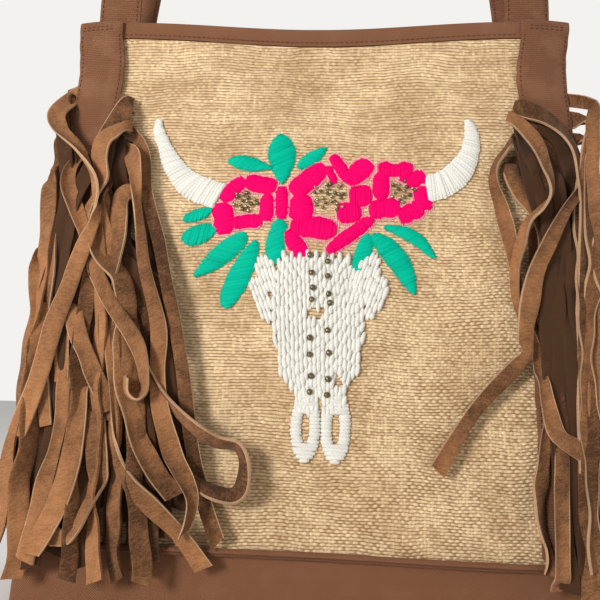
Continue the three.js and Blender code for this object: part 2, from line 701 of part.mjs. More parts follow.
function ovalOutline(x, z, halfWidth, halfHeight) {
  return steps(OVAL_POINTS).slice(1).map((t) => {
    const angle = 2 * Math.PI * t;
    return new THREE.Vector2(x + halfWidth * Math.cos(angle), z + halfHeight * Math.sin(angle));
  });
}

function skullSolid() {
  const right = SKULL_FACE.map((row) => new THREE.Vector2(row.x + row.half, row.z));
  const left = SKULL_FACE.map((row) => new THREE.Vector2(row.x - row.half, row.z)).reverse();
  let skull = patchSolid([...right, ...left]);
  for (const ear of SKULL_EARS) skull = skull.add(patchSolid(leafOutline(ear)));
  for (const side of [-1, 1]) {
    const middle = MUZZLE.x + side * MUZZLE.offset;
    const loop = ovalOutline(middle, MUZZLE.z, MUZZLE.halfWidth, MUZZLE.halfHeight);
    skull = skull.add(patchSolid(loop));
  }
  for (const side of [-1, 1]) {
    const middle = MUZZLE.x + side * MUZZLE.offset;
    const slot = ovalOutline(middle, MUZZLE.z, MUZZLE.slotHalfWidth, MUZZLE.slotHalfHeight);
    skull = skull.subtract(patchSolid(slot, 1));
  }
  return skull;
}

// Patches keep clear of those laid down before them
function addPatches() {
  let taken = null;
  const lay = (name, solid, clearance, material) => {
    const clear = taken ? largestBody(solid.subtract(taken)) : largestBody(solid);
    addPiece(name, geometryOf(clear), material);
    taken = taken ? taken.add(clearance) : clearance;
  };
  for (const [name, flower] of Object.entries(FLOWERS)) {
    const clearance = patchSolid(flowerOutline(flower, PATCH_GAP), PATCH_GAP);
    lay(name, patchSolid(flowerOutline(flower)), clearance, PINK_FLOSS);
  }
  LEAVES.forEach((leaf, i) => {
    const name = `leaf_${String(i + 1).padStart(2, "0")}`;
    const clearance = patchSolid(leafOutline(leaf, PATCH_GAP), PATCH_GAP);
    lay(name, patchSolid(leafOutline(leaf)), clearance, GREEN_FLOSS);
  });
  for (const [name, horn] of [["horn_left", HORN_LEFT], ["horn_right", HORN_RIGHT]]) {
    const clearance = patchSolid(ribbonOutline(horn, PATCH_GAP), PATCH_GAP);
    lay(name, patchSolid(ribbonOutline(horn)), clearance, WHITE_YARN);
  }
  lay("skull", skullSolid(), skullSolid(), WHITE_YARN);
}

// The assembly
addPiece("front_panel", panelGeometry(onFront, PANEL_STEPS), JUTE_CLOTH);
addPiece("back_panel", panelGeometry(onBack, BACK_STEPS), JUTE_CLOTH);
addPiece("base_boot", bootGeometry(), BROWN_CANVAS);
addPiece("piping", pipingGeometry(), BROWN_CANVAS);
addPiece("mouth_binding", bindingGeometry(), BROWN_CANVAS);
for (const [label, side] of [["left", -1], ["right", 1]]) {
  addPiece(`gusset_${label}`, gussetGeometry(side), BROWN_CANVAS);
  addPiece(`strap_front_${label}`, strapGeometry(onFront, side), BROWN_WEBBING);
  addPiece(`strap_back_${label}`, strapGeometry(onBack, side), BROWN_WEBBING);
}
addPiece("handle_front", handleGeometry(-1), BROWN_WEBBING);
addPiece("handle_back", handleGeometry(1), BROWN_WEBBING);
addPiece("fringe_left", fringeGeometry(FRINGE_LEFT, -1), TAN_SUEDE);
addPiece("fringe_right", fringeGeometry(FRINGE_RIGHT, 1), TAN_SUEDE);
addPatches();

export default bag;
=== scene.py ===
import math
from collections import namedtuple

import bmesh
import bpy
import numpy as np
from bpy.props import FloatProperty, FloatVectorProperty, IntProperty, PointerProperty
from bpy.types import Operator, Panel, PropertyGroup
from mathutils import Matrix, Vector


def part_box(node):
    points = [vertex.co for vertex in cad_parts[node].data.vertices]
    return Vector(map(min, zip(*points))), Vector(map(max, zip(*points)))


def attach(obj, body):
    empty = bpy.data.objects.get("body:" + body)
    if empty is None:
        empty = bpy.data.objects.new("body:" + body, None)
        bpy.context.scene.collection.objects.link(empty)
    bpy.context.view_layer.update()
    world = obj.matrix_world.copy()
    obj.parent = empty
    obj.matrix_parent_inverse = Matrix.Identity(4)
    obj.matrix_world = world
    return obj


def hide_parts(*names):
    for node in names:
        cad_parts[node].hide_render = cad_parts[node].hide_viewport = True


bl_info = {
    "name": "Fringe tote bag",
    "version": (1, 0, 0),
    "blender": (4, 5, 0),
    "location": "View3D > Sidebar > Tote bag",
    "description": "Builds a jute tote bag with webbing bands, suede fringe and thread work",
    "category": "Object",
}

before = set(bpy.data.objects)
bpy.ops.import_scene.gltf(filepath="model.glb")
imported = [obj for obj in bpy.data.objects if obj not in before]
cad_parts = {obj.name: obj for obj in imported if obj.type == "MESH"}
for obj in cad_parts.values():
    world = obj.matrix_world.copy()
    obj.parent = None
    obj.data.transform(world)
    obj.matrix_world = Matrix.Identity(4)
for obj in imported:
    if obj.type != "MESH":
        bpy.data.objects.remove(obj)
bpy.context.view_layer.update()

# Shapes are worked out in mm and written to meshes in metres
MM = 0.001


def node_box(name):
    """The lowest and highest corner of one solid, in mm."""
    low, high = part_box(name)
    return np.array(low) / MM, np.array(high) / MM


BOOT_BOX = node_box("base_boot")
BINDING_BOX = node_box("mouth_binding")
HALF_WIDTH = BOOT_BOX[1][0]
BASE_HALF_DEPTH = BOOT_BOX[1][1]
BOOT_HEIGHT = BOOT_BOX[1][2]
HEIGHT = BINDING_BOX[1][2]
MOUTH_HALF_DEPTH = 22
LEAN = (BASE_HALF_DEPTH - MOUTH_HALF_DEPTH) / HEIGHT

# Walls, boot, piping, binding and seams, in mm
PANEL_INSET = 1.5
CLOTH = 1.6
GAP = 0.3
CORNER_TUCK = 4
CORNER_REACH = 34
MOUTH_SAG = 6
SIDE_BOW = 9
BAG_CORNER = 4
BOOT_WALL = 2
BOOT_FLOOR = 3
PIPING_RADIUS = 2.4
PIPING_LIFT = 3.2
BINDING_HEIGHT = 14
BINDING_CLOTH = 1.2
BINDING_SEAM = 2.6
SEAM_INSET = 2.4
SEAM_END = 2
SEAM_RISE = 0.5

# Bands and handles, in mm
BAND_WIDTH = 31.5
BAND_THICK = 2
BAND_LIFT = 2.2
BAND_TOP_INSET = 1
BAND_INNER_EXTRA = 2.5
BAND_FLARE = 2.1
BAND_FLARE_LOW = 362
BAND_FLARE_HIGH = 396
BAND_WAIST = 2.7
BAND_WAIST_HEIGHT = 352
BAND_WAIST_REACH = 26
BAND_SEAM_STOP = 8
BAND_TOP_SEAMS = (4.5, 7)
BAND_TOP_SEAM_END = 3
BAND_CENTRE = HALF_WIDTH - BAND_WIDTH / 2
HANDLE_THICK = 2.5
HANDLE_RISE = 205
HANDLE_SEWN = 55
HANDLE_SPREAD = 12
HANDLE_CLEAR = 0.7
HANDLE_CENTRE = BAND_CENTRE - 10
HANDLE_LIFT = 4

# How the fringe leaves its band, bends, turns and hangs
FRINGE_TOP = 352
FRINGE_BOTTOM = 214
ROOT_HIDDEN = 4
ROOT_LIFT = 1.1
LOOP_PLACE = 0.13
LOOP_ROOM = 8
EDGE_ON = 1.45
BEND_REACH = 16
SWAYS = 5
LAYER_FIRST = 6.5
LAYER_STEP = 2
PIPING_ROOM = 4
TURN_BIAS = 12
TWIST_MORE = 1.7
FULL_TURN = 6.28

# Shallow dents and swells of the jute: place, depth (inward is positive) and reach each way
Dent = namedtuple("Dent", "x z depth reach_x reach_z")
DENTS = (
    Dent(18, 352, 4, 70, 30),
    Dent(12, 60, 5, 46, 20),
    Dent(96, 62, -4, 50, 30),
    Dent(-96, 58, -3, 44, 28),
)

# Low ripples of the loose jute: height, waves per mm each way and phase
Ripple = namedtuple("Ripple", "height wave_x wave_z phase")
RIPPLES = (
    Ripple(0.55, 0.052, 0.021, 0.4),
    Ripple(0.45, -0.031, 0.060, 1.9),
    Ripple(0.35, 0.090, -0.047, 3.1),
)
# Where the ripples start and are full above the boot, and fade and end under the mouth
RIPPLE_START = 4
RIPPLE_FULL = 40
RIPPLE_FADE = 50
RIPPLE_END = 22

# Fringe strips: the band's edge each leaves, root height, reach of its loop, length down, its place across
# the band's middle at each quarter of the way down, layer and twist in degrees
Strip = namedtuple("Strip", "edge root reach drop a b c d layer twist")
FRINGE_LEFT = (
    Strip(-1, 284, 4, 256, -16, -18, -20, -24, 0, 9),
    Strip(-1, 222, 5, 204, -12, -10, -8, -6, 0, -9),
    Strip(1, 270, 5, 250, 34, 42, 49, 56, 0, 8),
    Strip(1, 256, 5, 236, 26, 31, 37, 44, 0, 7),
    Strip(1, 242, 6, 174, 42, 47, 56, 86, 1, -8),
    Strip(1, 228, 7, 208, 46, 56, 64, 72, 0, -5),
    Strip(1, 220, 5, 200, 18, 20, 24, 30, 0, -6),
)
FRINGE_RIGHT = (
    Strip(1, 338, 14, 250, 22, 22, 15, 12, 2, 10),
    Strip(1, 323, 10, 283, 14, 12, 9, 8, 1, -7),
    Strip(1, 308, 8, 270, 18, 16, 15, 15, 1, -12),
    Strip(1, 262, 8, 242, 20, 22, 23, 24, 1, 7),
    Strip(1, 245, 8, 225, 26, 28, 29, 28, 1, -8),
    Strip(1, 228, 5, 209, 10, 9, 6, 4, 1, 9),
)
# Strips that loop or kink in plain view: how light each is, which edge shows pale (1 is the first) and the
# places that its two edges pass on the front, with their heights above the cloth
Loose = namedtuple("Loose", "tone pale rows")
Row = namedtuple("Row", "x0 z0 lift0 x1 z1 lift1")
# The strips' tones hold painted shade as well as each strip's own tone
LOOSE_LEFT = (
    Loose(0.42, 1, (
        Row(-172, 350, 1, -164, 339, 1), Row(-179, 344, 3, -171, 333, 2), Row(-184, 332, 7, -172, 326, 5),
        Row(-188, 319, 9, -173, 317, 7), Row(-180, 305, 12, -170, 307, 8), Row(-159, 287, 17, -158, 292, 8),
        Row(-143, 269, 18, -149, 274, 8), Row(-139, 257, 18, -146, 261, 9),
        Row(-142, 239, 16, -138, 237, 12), Row(-149, 226, 14, -140, 222, 13),
        Row(-159, 197, 13, -147, 192, 13), Row(-169, 163, 12, -156, 158, 12),
        Row(-173, 131, 11, -162, 127, 11), Row(-182, 101, 9, -170, 98, 9),
    )),
    Loose(0.34, 1, (
        Row(-163, 301, 2, -156, 296, 2), Row(-167, 286, 7, -159, 286, 4), Row(-170, 267, 10, -161, 268, 4),
        Row(-161, 247, 10, -154, 251, 4), Row(-151, 228, 8, -145, 234, 6), Row(-142, 206, 10, -135, 212, 10),
        Row(-129, 183, 12, -122, 190, 12), Row(-111, 159, 12, -103, 166, 13),
        Row(-105, 149, 10, -97, 155, 15), Row(-101, 138, 8, -93, 139, 17), Row(-99, 130, 7, -93, 128, 17),
        Row(-103, 126, 7, -99, 123, 17), Row(-108, 129, 7, -106, 127, 17), Row(-110, 138, 7, -108, 138, 17),
    )),
    Loose(0.36, -1, (
        Row(-141, 320, 1, -139, 310, 1), Row(-133, 319, 3, -131, 309, 3), Row(-128, 317, 6, -127, 308, 6),
        Row(-134, 311, 9, -130, 305, 9), Row(-150, 301, 10, -135, 295, 13), Row(-153, 288, 9, -135, 284, 14),
        Row(-148, 273, 6, -133, 268, 14), Row(-146, 264, 4, -138, 261, 13), Row(-153, 249, 3, -146, 245, 7),
        Row(-158, 222, 4, -148, 218, 5), Row(-162, 187, 6, -152, 185, 6), Row(-157, 134, 7, -148, 134, 7),
    )),
    Loose(0.2, 1, (
        Row(-148, 344, 1, -145, 331, 1), Row(-139, 341, 2.5, -137, 329, 2.5),
        Row(-130, 335, 5, -129, 323, 5), Row(-135, 336, 8, -127, 323, 8), Row(-143, 323, 8, -132, 314, 8),
        Row(-150, 306, 5, -141, 297, 5), Row(-151, 289, 4, -141, 287, 4), Row(-144, 258, 4, -135, 258, 4),
        Row(-135, 188, 5, -127, 188, 5), Row(-123, 111, 7, -115, 111, 7),
    )),
    Loose(0.1, -1, (
        Row(-139, 307, 1, -140, 317, 1), Row(-131, 305, 3, -130, 315, 3), Row(-124, 297, 5, -121, 307, 4),
        Row(-120, 287, 6, -113, 292, 4), Row(-117, 265, 6, -109, 266, 4), Row(-98, 209, 6, -90, 210, 5),
        Row(-82, 150, 7, -73, 150, 5), Row(-64, 72, 7, -56, 73, 6), Row(-51, 39, 7, -43, 44, 7),
    )),
    Loose(0.34, -1, (
        Row(-137, 294, 1, -138, 303, 1), Row(-130, 292, 4, -130, 301, 4), Row(-127, 283, 8, -118, 292, 8),
        Row(-123, 273, 9, -115, 274, 8), Row(-118, 254, 12, -115, 257, 7), Row(-110, 211, 11, -103, 212, 9),
        Row(-98, 168, 10, -87, 170, 11), Row(-96, 141, 9, -86, 144, 9), Row(-93, 122, 9, -82, 124, 9),
        Row(-87, 105, 10, -76, 106, 9), Row(-82, 91, 11, -70, 91, 9), Row(-73, 79, 12, -63, 80, 9),
        Row(-66, 68, 12, -60, 69, 8), Row(-66, 55, 11, -62, 57, 8), Row(-68, 47, 9, -65, 49, 8),
    )),
    Loose(0.3, -1, (
        Row(-135, 271, 1, -133, 260, 1), Row(-125, 270, 4, -124, 260, 4), Row(-120, 268, 7, -120, 259, 7),
        Row(-126, 267, 9, -120, 257, 9), Row(-133, 262, 9, -120, 254, 10), Row(-133, 245, 8, -119, 242, 12),
        Row(-130, 224, 7, -119, 225, 12), Row(-129, 207, 5, -121, 207, 11), Row(-128, 195, 4, -124, 193, 9),
        Row(-129, 168, 4, -121, 167, 6), Row(-124, 111, 6, -116, 111, 6),
    )),
    Loose(0.28, -1, (
        Row(-168, 322, 1, -161, 314, 1), Row(-177, 314, 3, -167, 307, 2), Row(-182, 301, 5, -171, 298, 3),
        Row(-180, 285, 5, -170, 285, 3), Row(-184, 265, 6, -170, 262, 5), Row(-178, 233, 5, -168, 231, 9),
        Row(-178, 206, 5, -165, 207, 8), Row(-179, 180, 5, -168, 177, 6), Row(-174, 147, 6, -164, 147, 6),
        Row(-163, 106, 6, -154, 106, 6),
    )),
    Loose(0.32, 1, (
        Row(-135, 239, 1, -128, 237, 1), Row(-134, 208, 4, -126, 207, 4), Row(-127, 161, 7, -115, 160, 7),
        Row(-118, 123, 11, -111, 122, 8), Row(-113, 101, 13, -111, 99, 7), Row(-106, 88, 13, -113, 85, 7),
        Row(-96, 77, 12, -104, 71, 8), Row(-83, 67, 11, -91, 60, 9), Row(-67, 51, 10, -75, 46, 9),
        Row(-50, 31, 9, -58, 25, 9),
    )),
    Loose(0.16, 1, (
        Row(-128, 199, 1, -127, 188, 1), Row(-103, 156, 7, -107, 149, 5), Row(-82, 128, 14, -85, 123, 6),
        Row(-50, 104, 16, -54, 97, 7), Row(-37, 100, 17, -41, 95, 7), Row(-32, 91, 17, -38, 89, 7),
        Row(-32, 72, 15, -41, 74, 6), Row(-38, 66, 13, -46, 74, 5), Row(-52, 68, 11, -58, 79, 4),
        Row(-67, 76, 6, -71, 85, 3),
    )),
    Loose(0.34, 1, (
        Row(-157, 193, 4, -144, 188, 4), Row(-156, 177, 8, -141, 176, 8), Row(-150, 161, 10, -136, 163, 10),
        Row(-142, 148, 10, -128, 149, 10), Row(-132, 130, 9, -122, 136, 9), Row(-122, 114, 7, -114, 120, 7),
    )),
    Loose(0.4, 1, (
        Row(-156, 160, 5, -146, 155, 5), Row(-155, 134, 7, -146, 134, 7), Row(-153, 113, 8, -144, 111, 8),
        Row(-154, 92, 9, -146, 90, 9), Row(-160, 73, 10, -148, 70, 10), Row(-162, 50, 10, -151, 48, 10),
        Row(-165, 29, 9, -154, 28, 9),
    )),
    Loose(0.42, -1, (
        Row(-146, 146, 5, -136, 140, 5), Row(-144, 122, 7, -133, 121, 7), Row(-143, 103, 9, -132, 101, 9),
        Row(-145, 81, 11, -132, 80, 11), Row(-149, 62, 12, -137, 59, 12), Row(-156, 44, 12, -144, 40, 12),
        Row(-161, 35, 12, -148, 31, 12),
    )),
    Loose(0.3, -1, (
        Row(-135, 128, 5, -122, 122, 5), Row(-133, 104, 7, -119, 104, 7), Row(-130, 86, 8, -114, 87, 9),
        Row(-124, 72, 8, -114, 75, 12), Row(-128, 58, 8, -120, 60, 13), Row(-134, 47, 8, -127, 46, 13),
        Row(-143, 48, 9, -134, 39, 12), Row(-151, 44, 9, -146, 37, 11),
    )),
    # Two dark strips that lie low in the gaps as painted shade
    Loose(-0.3, 1, (
        Row(-143, 302, 1, -144, 313, 1), Row(-136, 294, 2, -133, 305, 2), Row(-136, 276, 3, -126, 278, 3),
        Row(-129, 233, 3, -119, 233, 3), Row(-117, 168, 4, -108, 168, 4),
    )),
    Loose(-0.3, 1, (
        Row(-138, 295, 1, -139, 306, 1), Row(-124, 286, 2, -120, 296, 2), Row(-119, 255, 3, -109, 257, 3),
        Row(-107, 209, 3, -97, 209, 3), Row(-92, 150, 4, -83, 150, 4), Row(-77, 100, 4, -68, 100, 4),
    )),
)
LOOSE_RIGHT = (
    Loose(0.14, -1, (
        Row(148, 336, 1, 147, 325, 1), Row(142, 336, 3, 141, 325, 3), Row(137, 334, 6, 135, 325, 6),
        Row(141, 333, 9, 140, 321, 9), Row(157, 325, 9, 154, 315, 11), Row(171, 309, 7, 166, 302, 14),
        Row(178, 271, 6, 171, 268, 12), Row(177, 190, 7, 167, 189, 9), Row(172, 90, 9, 161, 90, 9),
    )),
    Loose(0.34, -1, (
        Row(147, 326, 1, 147, 315, 1), Row(138, 325, 4, 137, 315, 4), Row(131, 324, 7, 129, 316, 7),
        Row(137, 321, 11, 134, 311, 11), Row(149, 307, 12, 143, 297, 13), Row(155, 285, 12, 149, 279, 15),
        Row(155, 264, 9, 151, 261, 18), Row(147, 254, 8, 146, 250, 18), Row(139, 246, 8, 140, 243, 16),
        Row(133, 231, 8, 137, 228, 14), Row(129, 214, 7, 133, 213, 12), Row(131, 191, 5, 133, 189, 9),
        Row(137, 168, 3, 144, 167, 4),
    )),
    Loose(0.24, -1, (
        Row(140, 315, 1, 139, 307, 1), Row(134, 308, 4, 135, 304, 4), Row(129, 299, 4, 128, 293, 11),
        Row(123, 290, 4, 123, 284, 12), Row(119, 277, 4, 123, 275, 11), Row(120, 258, 6, 128, 259, 9),
        Row(123, 237, 7, 133, 238, 8), Row(128, 214, 6, 135, 216, 6), Row(131, 190, 5, 138, 189, 5),
        Row(138, 164, 3, 146, 164, 3),
    )),
    Loose(0.2, -1, (
        Row(139, 295, 1, 139, 286, 1), Row(132, 293, 3, 132, 285, 3), Row(128, 288, 6, 127, 282, 6),
        Row(135, 287, 8, 127, 281, 8), Row(138, 279, 8, 129, 274, 8), Row(143, 269, 7, 134, 262, 7),
        Row(148, 258, 6, 140, 254, 6), Row(154, 243, 5, 146, 240, 5), Row(154, 208, 5, 146, 208, 5),
        Row(151, 170, 6, 144, 169, 6),
    )),
    Loose(0.24, 1, (
        Row(168, 289, 1, 167, 277, 1), Row(175, 288, 4, 174, 276, 4), Row(177, 281, 9, 176, 268, 9),
        Row(158, 252, 15, 164, 248, 15), Row(146, 232, 15, 155, 228, 14), Row(137, 213, 14, 147, 210, 13),
        Row(132, 194, 13, 143, 191, 12), Row(130, 177, 12, 139, 176, 12), Row(130, 167, 11, 139, 167, 12),
        Row(133, 162, 10, 138, 159, 12), Row(127, 156, 9, 135, 152, 10), Row(100, 126, 8, 108, 122, 8),
        Row(77, 91, 6, 86, 86, 6),
    )),
    Loose(0.24, -1, (
        Row(140, 183, 4, 146, 184, 4), Row(140, 163, 7, 146, 163, 7), Row(140, 144, 8, 147, 144, 8),
        Row(141, 128, 9, 150, 128, 8), Row(144, 113, 10, 155, 114, 8), Row(150, 106, 11, 161, 111, 10),
        Row(161, 99, 10, 168, 106, 9),
    )),
    Loose(0.08, -1, (
        Row(146, 182, 3, 154, 183, 3), Row(147, 160, 5, 154, 162, 5), Row(149, 142, 6, 156, 143, 6),
        Row(151, 127, 6, 159, 127, 6), Row(152, 109, 5, 160, 109, 5), Row(152, 86, 4, 159, 86, 4),
    )),
    Loose(0.24, -1, (
        Row(150, 118, 5, 158, 118, 5), Row(147, 92, 9, 156, 92, 9), Row(145, 64, 10, 153, 65, 10),
        Row(144, 38, 11, 152, 38, 11), Row(144, 27, 10, 153, 27, 10),
    )),
    Loose(0.28, 1, (
        Row(148, 128, 3, 155, 128, 3), Row(143, 109, 4, 150, 109, 4), Row(140, 94, 6, 147, 95, 6),
        Row(137, 83, 8, 146, 82, 6), Row(137, 74, 10, 144, 75, 6), Row(137, 64, 12, 144, 63, 4),
        Row(139, 55, 11, 145, 54, 4), Row(142, 47, 9, 146, 46, 5), Row(142, 40, 9, 146, 39, 6),
        Row(140, 34, 9, 146, 34, 7),
    )),
    # Three dark strips over the band that paint the shade in its gaps
    Loose(-0.42, 1, (
        Row(140, 314, 5.4, 138, 305, 5.4), Row(153, 305, 5.6, 148, 296, 5.6),
        Row(162, 286, 5.8, 154, 281, 5.8), Row(166, 248, 6, 156, 246, 6), Row(163, 196, 6, 154, 195, 6),
    )),
    Loose(-0.42, 1, (
        Row(138, 303, 5.4, 136, 294, 5.4), Row(146, 292, 5.6, 140, 285, 5.6),
        Row(154, 268, 5.8, 145, 264, 5.8), Row(156, 234, 6, 148, 232, 6), Row(154, 189, 5, 146, 189, 5),
    )),
    Loose(-0.34, 1, (
        Row(153, 320, 5.4, 149, 311, 5.4), Row(165, 312, 5.6, 159, 304, 5.6),
        Row(174, 291, 5.8, 164, 286, 5.8), Row(173, 243, 6, 164, 242, 6), Row(170, 196, 6, 161, 196, 6),
    )),
)
# The strips underneath that close the gaps: how many, the first and last place across the band and the
# height of the topmost root
Under = namedtuple("Under", "count first last top")
UNDER_LEFT = Under(17, -15, 78, 342)
UNDER_RIGHT = Under(8, -10, 24, 318)
# Their layers over the band and over the cloth, their roots, fan, ends and twist, and how calm they lie
UNDER_BAND_LAYER = -0.65
UNDER_CLOTH_LAYER = -2
UNDER_BAND_MARGIN = 4
UNDER_REACH = 5
UNDER_ROOTS = 108
UNDER_ROOT_SHIFT = 3
UNDER_DRIFT = 5
UNDER_FAN = np.array([0.8, 0.95, 1.06, 1.16])
UNDER_END_LOW = 20
UNDER_END_HIGH = 60
UNDER_TWIST = 8
UNDER_CALMER = 0.4

# How light the strips are, with painted shade: the least, more for each layer up and by chance, less on the
# right and underneath
TONE_LEAST = 0.14
PAINTED_SHADE_LAYER_STEP = 0.06
TONE_CHANCE = 0.26
RIGHT_PAINTED_SHADE = 0.10
UNDER_PAINTED_SHADE = 0.44
# Loose strips darker than this get no pale edge and fill the gaps as painted shade
DARK_LOOSE = -0.2

# Green leaves: root, length and width, the way each points in degrees, where it is widest, how blunt its
# ends are and its bend
Leaf = namedtuple("Leaf", "x z length width angle widest blunt bend", defaults=(0.5, 0.58, 0))
LEAVES = (
    Leaf(-27.7, 284.3, 32, 10.8, 170, 0.6),
    Leaf(-20.8, 272.6, 37, 19.5, 93, 0.6, 0.55),
    Leaf(-10.6, 284.5, 25, 9.7, 39, 0.45),
    Leaf(-68, 253.3, 21, 8.4, 202, 0.5, 0.45),
    Leaf(-64, 240.5, 24, 14.4, 204, 0.58, 0.36),
    Leaf(-42.9, 236, 45, 14.6, 222, 0.4, 0.65),
    Leaf(-35.7, 231.6, 50, 15.2, 247, 0.58, 0.38),
    Leaf(-20.2, 246.8, 32, 13.3, 261, 0.5, 0.34),
    Leaf(39.6, 237.7, 31, 11.2, 251, 0.42),
    Leaf(41.8, 238.1, 49, 15.1, -56, 0.42, 0.55, 3.5),
    Leaf(48.9, 243.6, 40, 8.8, -33, 0.5, 0.5, 4.5),
)

# Pink flowers: the middle, its beads, and for each petal its middle, size, the way it lies in degrees and
# how deep its outer edge is notched
Flower = namedtuple("Flower", "x z beads bead_reach petals")
Petal = namedtuple("Petal", "x z length width angle notch", defaults=(0,))
FLOWERS = {
    "flower_left": Flower(-45, 259, 15, 8.5, (
        Petal(-54.3, 268, 22.5, 12.1, 48), Petal(-35.2, 272, 22.4, 14.1, -11, 1),
        Petal(-30.1, 255.2, 19.9, 11, 90), Petal(-43.2, 244.8, 21.5, 11, 8, 1),
        Petal(-59.7, 247, 23.4, 15.8, 99, 1.5),
    )),
    "flower_middle": Flower(12, 264, 27, 12.5, (
        Petal(-2.8, 276, 30.9, 16.4, 44, 1), Petal(-7, 255, 19.7, 17.4, 93),
        Petal(2, 241.4, 31.7, 17.3, -6, 1), Petal(-9.4, 229.6, 22.8, 12.1, -54),
        Petal(26.4, 237.2, 39.2, 10.3, 39), Petal(25.5, 252.6, 17, 16.2, 8),
        Petal(33, 265, 15.9, 16.8, 3), Petal(19.6, 284, 25.4, 9.7, -57),
        Petal(31, 282, 22.8, 15.4, 44), Petal(12.7, 279.7, 14.8, 6.8, -65),
    )),
    "flower_right": Flower(60.5, 268.5, 14, 9, (
        Petal(56, 284.5, 24.2, 12.7, 1, 2.5), Petal(46.7, 272.3, 20.9, 12.4, 89),
        Petal(49, 256.2, 21.2, 15.7, 6, 1), Petal(66.4, 253.2, 18.1, 13.8, 25, 1),
        Petal(69.7, 277.2, 14.5, 11.9, 31), Petal(74.5, 264.2, 16.6, 14, 88),
        Petal(73.8, 258.8, 14, 8.4, 3), Petal(62.8, 279.2, 10, 7.9, 62),
    )),
    "petal_bar": Flower(-20.2, 258.8, 0, 0, (
        Petal(-20.2, 258.8, 24.2, 10.3, 92),
    )),
}

# White thread work: the skull's face from the top down, its ears, the two muzzle loops and the horns
FaceRow = namedtuple("FaceRow", "z x half")
SKULL_FACE = (
    FaceRow(225, 4, 22), FaceRow(205, 5, 29.5), FaceRow(192, 6.5, 31.5), FaceRow(179, 7, 31),
    FaceRow(166, 8, 29.5), FaceRow(153, 8.5, 28), FaceRow(143, 9, 24.5), FaceRow(134, 10, 18.5),
    FaceRow(126, 10.5, 16),
)
SKULL_EARS = (
    Leaf(-23.5, 197, 26, 12.5, 110, 0.55, 0.45),
    Leaf(-24, 176, 33, 11, 113, 0.55, 0.45),
    Leaf(32, 192, 35, 15, 71, 0.5, 0.5),
    Leaf(38.5, 180, 31, 12, 70, 0.55, 0.45),
)
BarePatch = namedtuple("BarePatch", "x z half_x half_z")
BARE_PATCHES = (
    BarePatch(5, 183, 6.5, 4.5),
    BarePatch(-26, 197, 3, 2.5),
    BarePatch(21.5, 140, 2.4, 3.8),
    BarePatch(8.5, 126, 4, 4),
)
MUZZLE_X = 11
MUZZLE_Z = 111
MUZZLE_OFFSET = 9.4
MUZZLE_HALF_WIDTH = 9.8
MUZZLE_HALF_HEIGHT = 22
MUZZLE_SLOT_HALF_WIDTH = 2.0
MUZZLE_SLOT_HALF_HEIGHT = 9
HornRow = namedtuple("HornRow", "x z width")
HORNS = {
    "horn_left": (
        HornRow(-64.8, 263.5, 18.7), HornRow(-73.4, 266.2, 18.9), HornRow(-84, 271.2, 18.7),
        HornRow(-97.3, 285.3, 13.4), HornRow(-104.5, 299.7, 8.8), HornRow(-109.9, 311, 7.2),
        HornRow(-110.4, 319, 4),
    ),
    "horn_right": (
        HornRow(78.1, 270.4, 18), HornRow(87.8, 273.4, 18.3), HornRow(97.3, 281, 17.4),
        HornRow(104.3, 292, 13.6), HornRow(107.5, 305.4, 10.3), HornRow(106.9, 316, 7),
        HornRow(105.3, 320.6, 3.5),
    ),
}

# Beads down the skull in two columns: place on the front
Bead = namedtuple("Bead", "x z")
SKULL_BEADS = (
    Bead(0.3, 222), Bead(2, 210), Bead(3, 200), Bead(2.7, 192), Bead(2.4, 167), Bead(2.8, 156),
    Bead(3.9, 142.5), Bead(3.6, 132.5), Bead(12.3, 218), Bead(12.6, 208), Bead(13.6, 196),
    Bead(14.5, 190), Bead(13.7, 172), Bead(14.8, 157.5), Bead(14.7, 141), Bead(14.4, 131),
)

# Camera at the photograph's viewing angle: place in mm, turns in degrees, lens in mm
CAMERA_PLACE = (23.2, -462.7, 129.5)
CAMERA_PITCH = 8.4
CAMERA_YAW = 3.85
CAMERA_ROLL = 2.05
CAMERA_LENS = 39.16
CAMERA_SENSOR = 36
CAMERA_NEAR = 0.01

# Floor in metres, and lamps: place in metres and width
FLOOR_RADIUS = 6
FLOOR_SIDES = 48
Lamp = namedtuple("Lamp", "name place width")
LAMPS = (
    Lamp("key", (-1.05, -1.35, 0.52), 0.45),
    Lamp("fill", (1.15, -1.35, 0.75), 1.2),
    Lamp("top", (0.1, -0.25, 1.9), 1.4),
)
LAMP_TARGET = (0.0, 0.0, 0.22)
SURROUND_TINT = (1.0, 0.985, 0.96, 1)
SURROUND_FRONT = -0.3
SURROUND_BACK = 0.5


# Settings that a user would change
def colour(label, note, value):
    """A colour setting."""
    return FloatVectorProperty(name=label, description=note, default=value, subtype="COLOR", size=3, min=0,
                               max=1)


def length(label, note, value):
    """A length setting in metres."""
    return FloatProperty(name=label, description=note, default=value, min=0.00001, unit="LENGTH",
                         precision=5)


def light_power(label, note, value):
    """A light's power in watts."""
    return FloatProperty(name=label, description=note, default=value, min=0, unit="POWER")


def brightness(label, note, value):
    """A plain brightness."""
    return FloatProperty(name=label, description=note, default=value, min=0)


def random_seed(note, value):
    """A start for the random draws."""
    return IntProperty(name="Seed", description=note, default=value, min=0)


class ClothSettings(PropertyGroup):
    jute_pitch: length("Jute pitch", "Distance between rows of the jute", 0.0021)
    rib_pitch: length("Rib pitch", "Distance between ribs of the webbing", 0.0015)
    twill_pitch: length("Twill pitch", "Distance between diagonal ribs of the canvas", 0.0013)
    seam_stitch: length("Seam stitch", "Length of a sewing stitch", 0.0026)
    seam_gap: length("Seam gap", "Gap between two sewing stitches", 0.0010)
    seam_thread: length("Seam thread", "Thickness of the sewing thread", 0.0006)


class FringeSettings(PropertyGroup):
    strip_width: length("Strip width", "Width of one suede strip", 0.0105)
    strip_thickness: length("Strip thickness", "Thickness of the suede", 0.0019)
    cup: length("Cup", "How far a strip's edges curl forward", 0.0016)
    seed: random_seed("Changes the wander of the strips", 7)


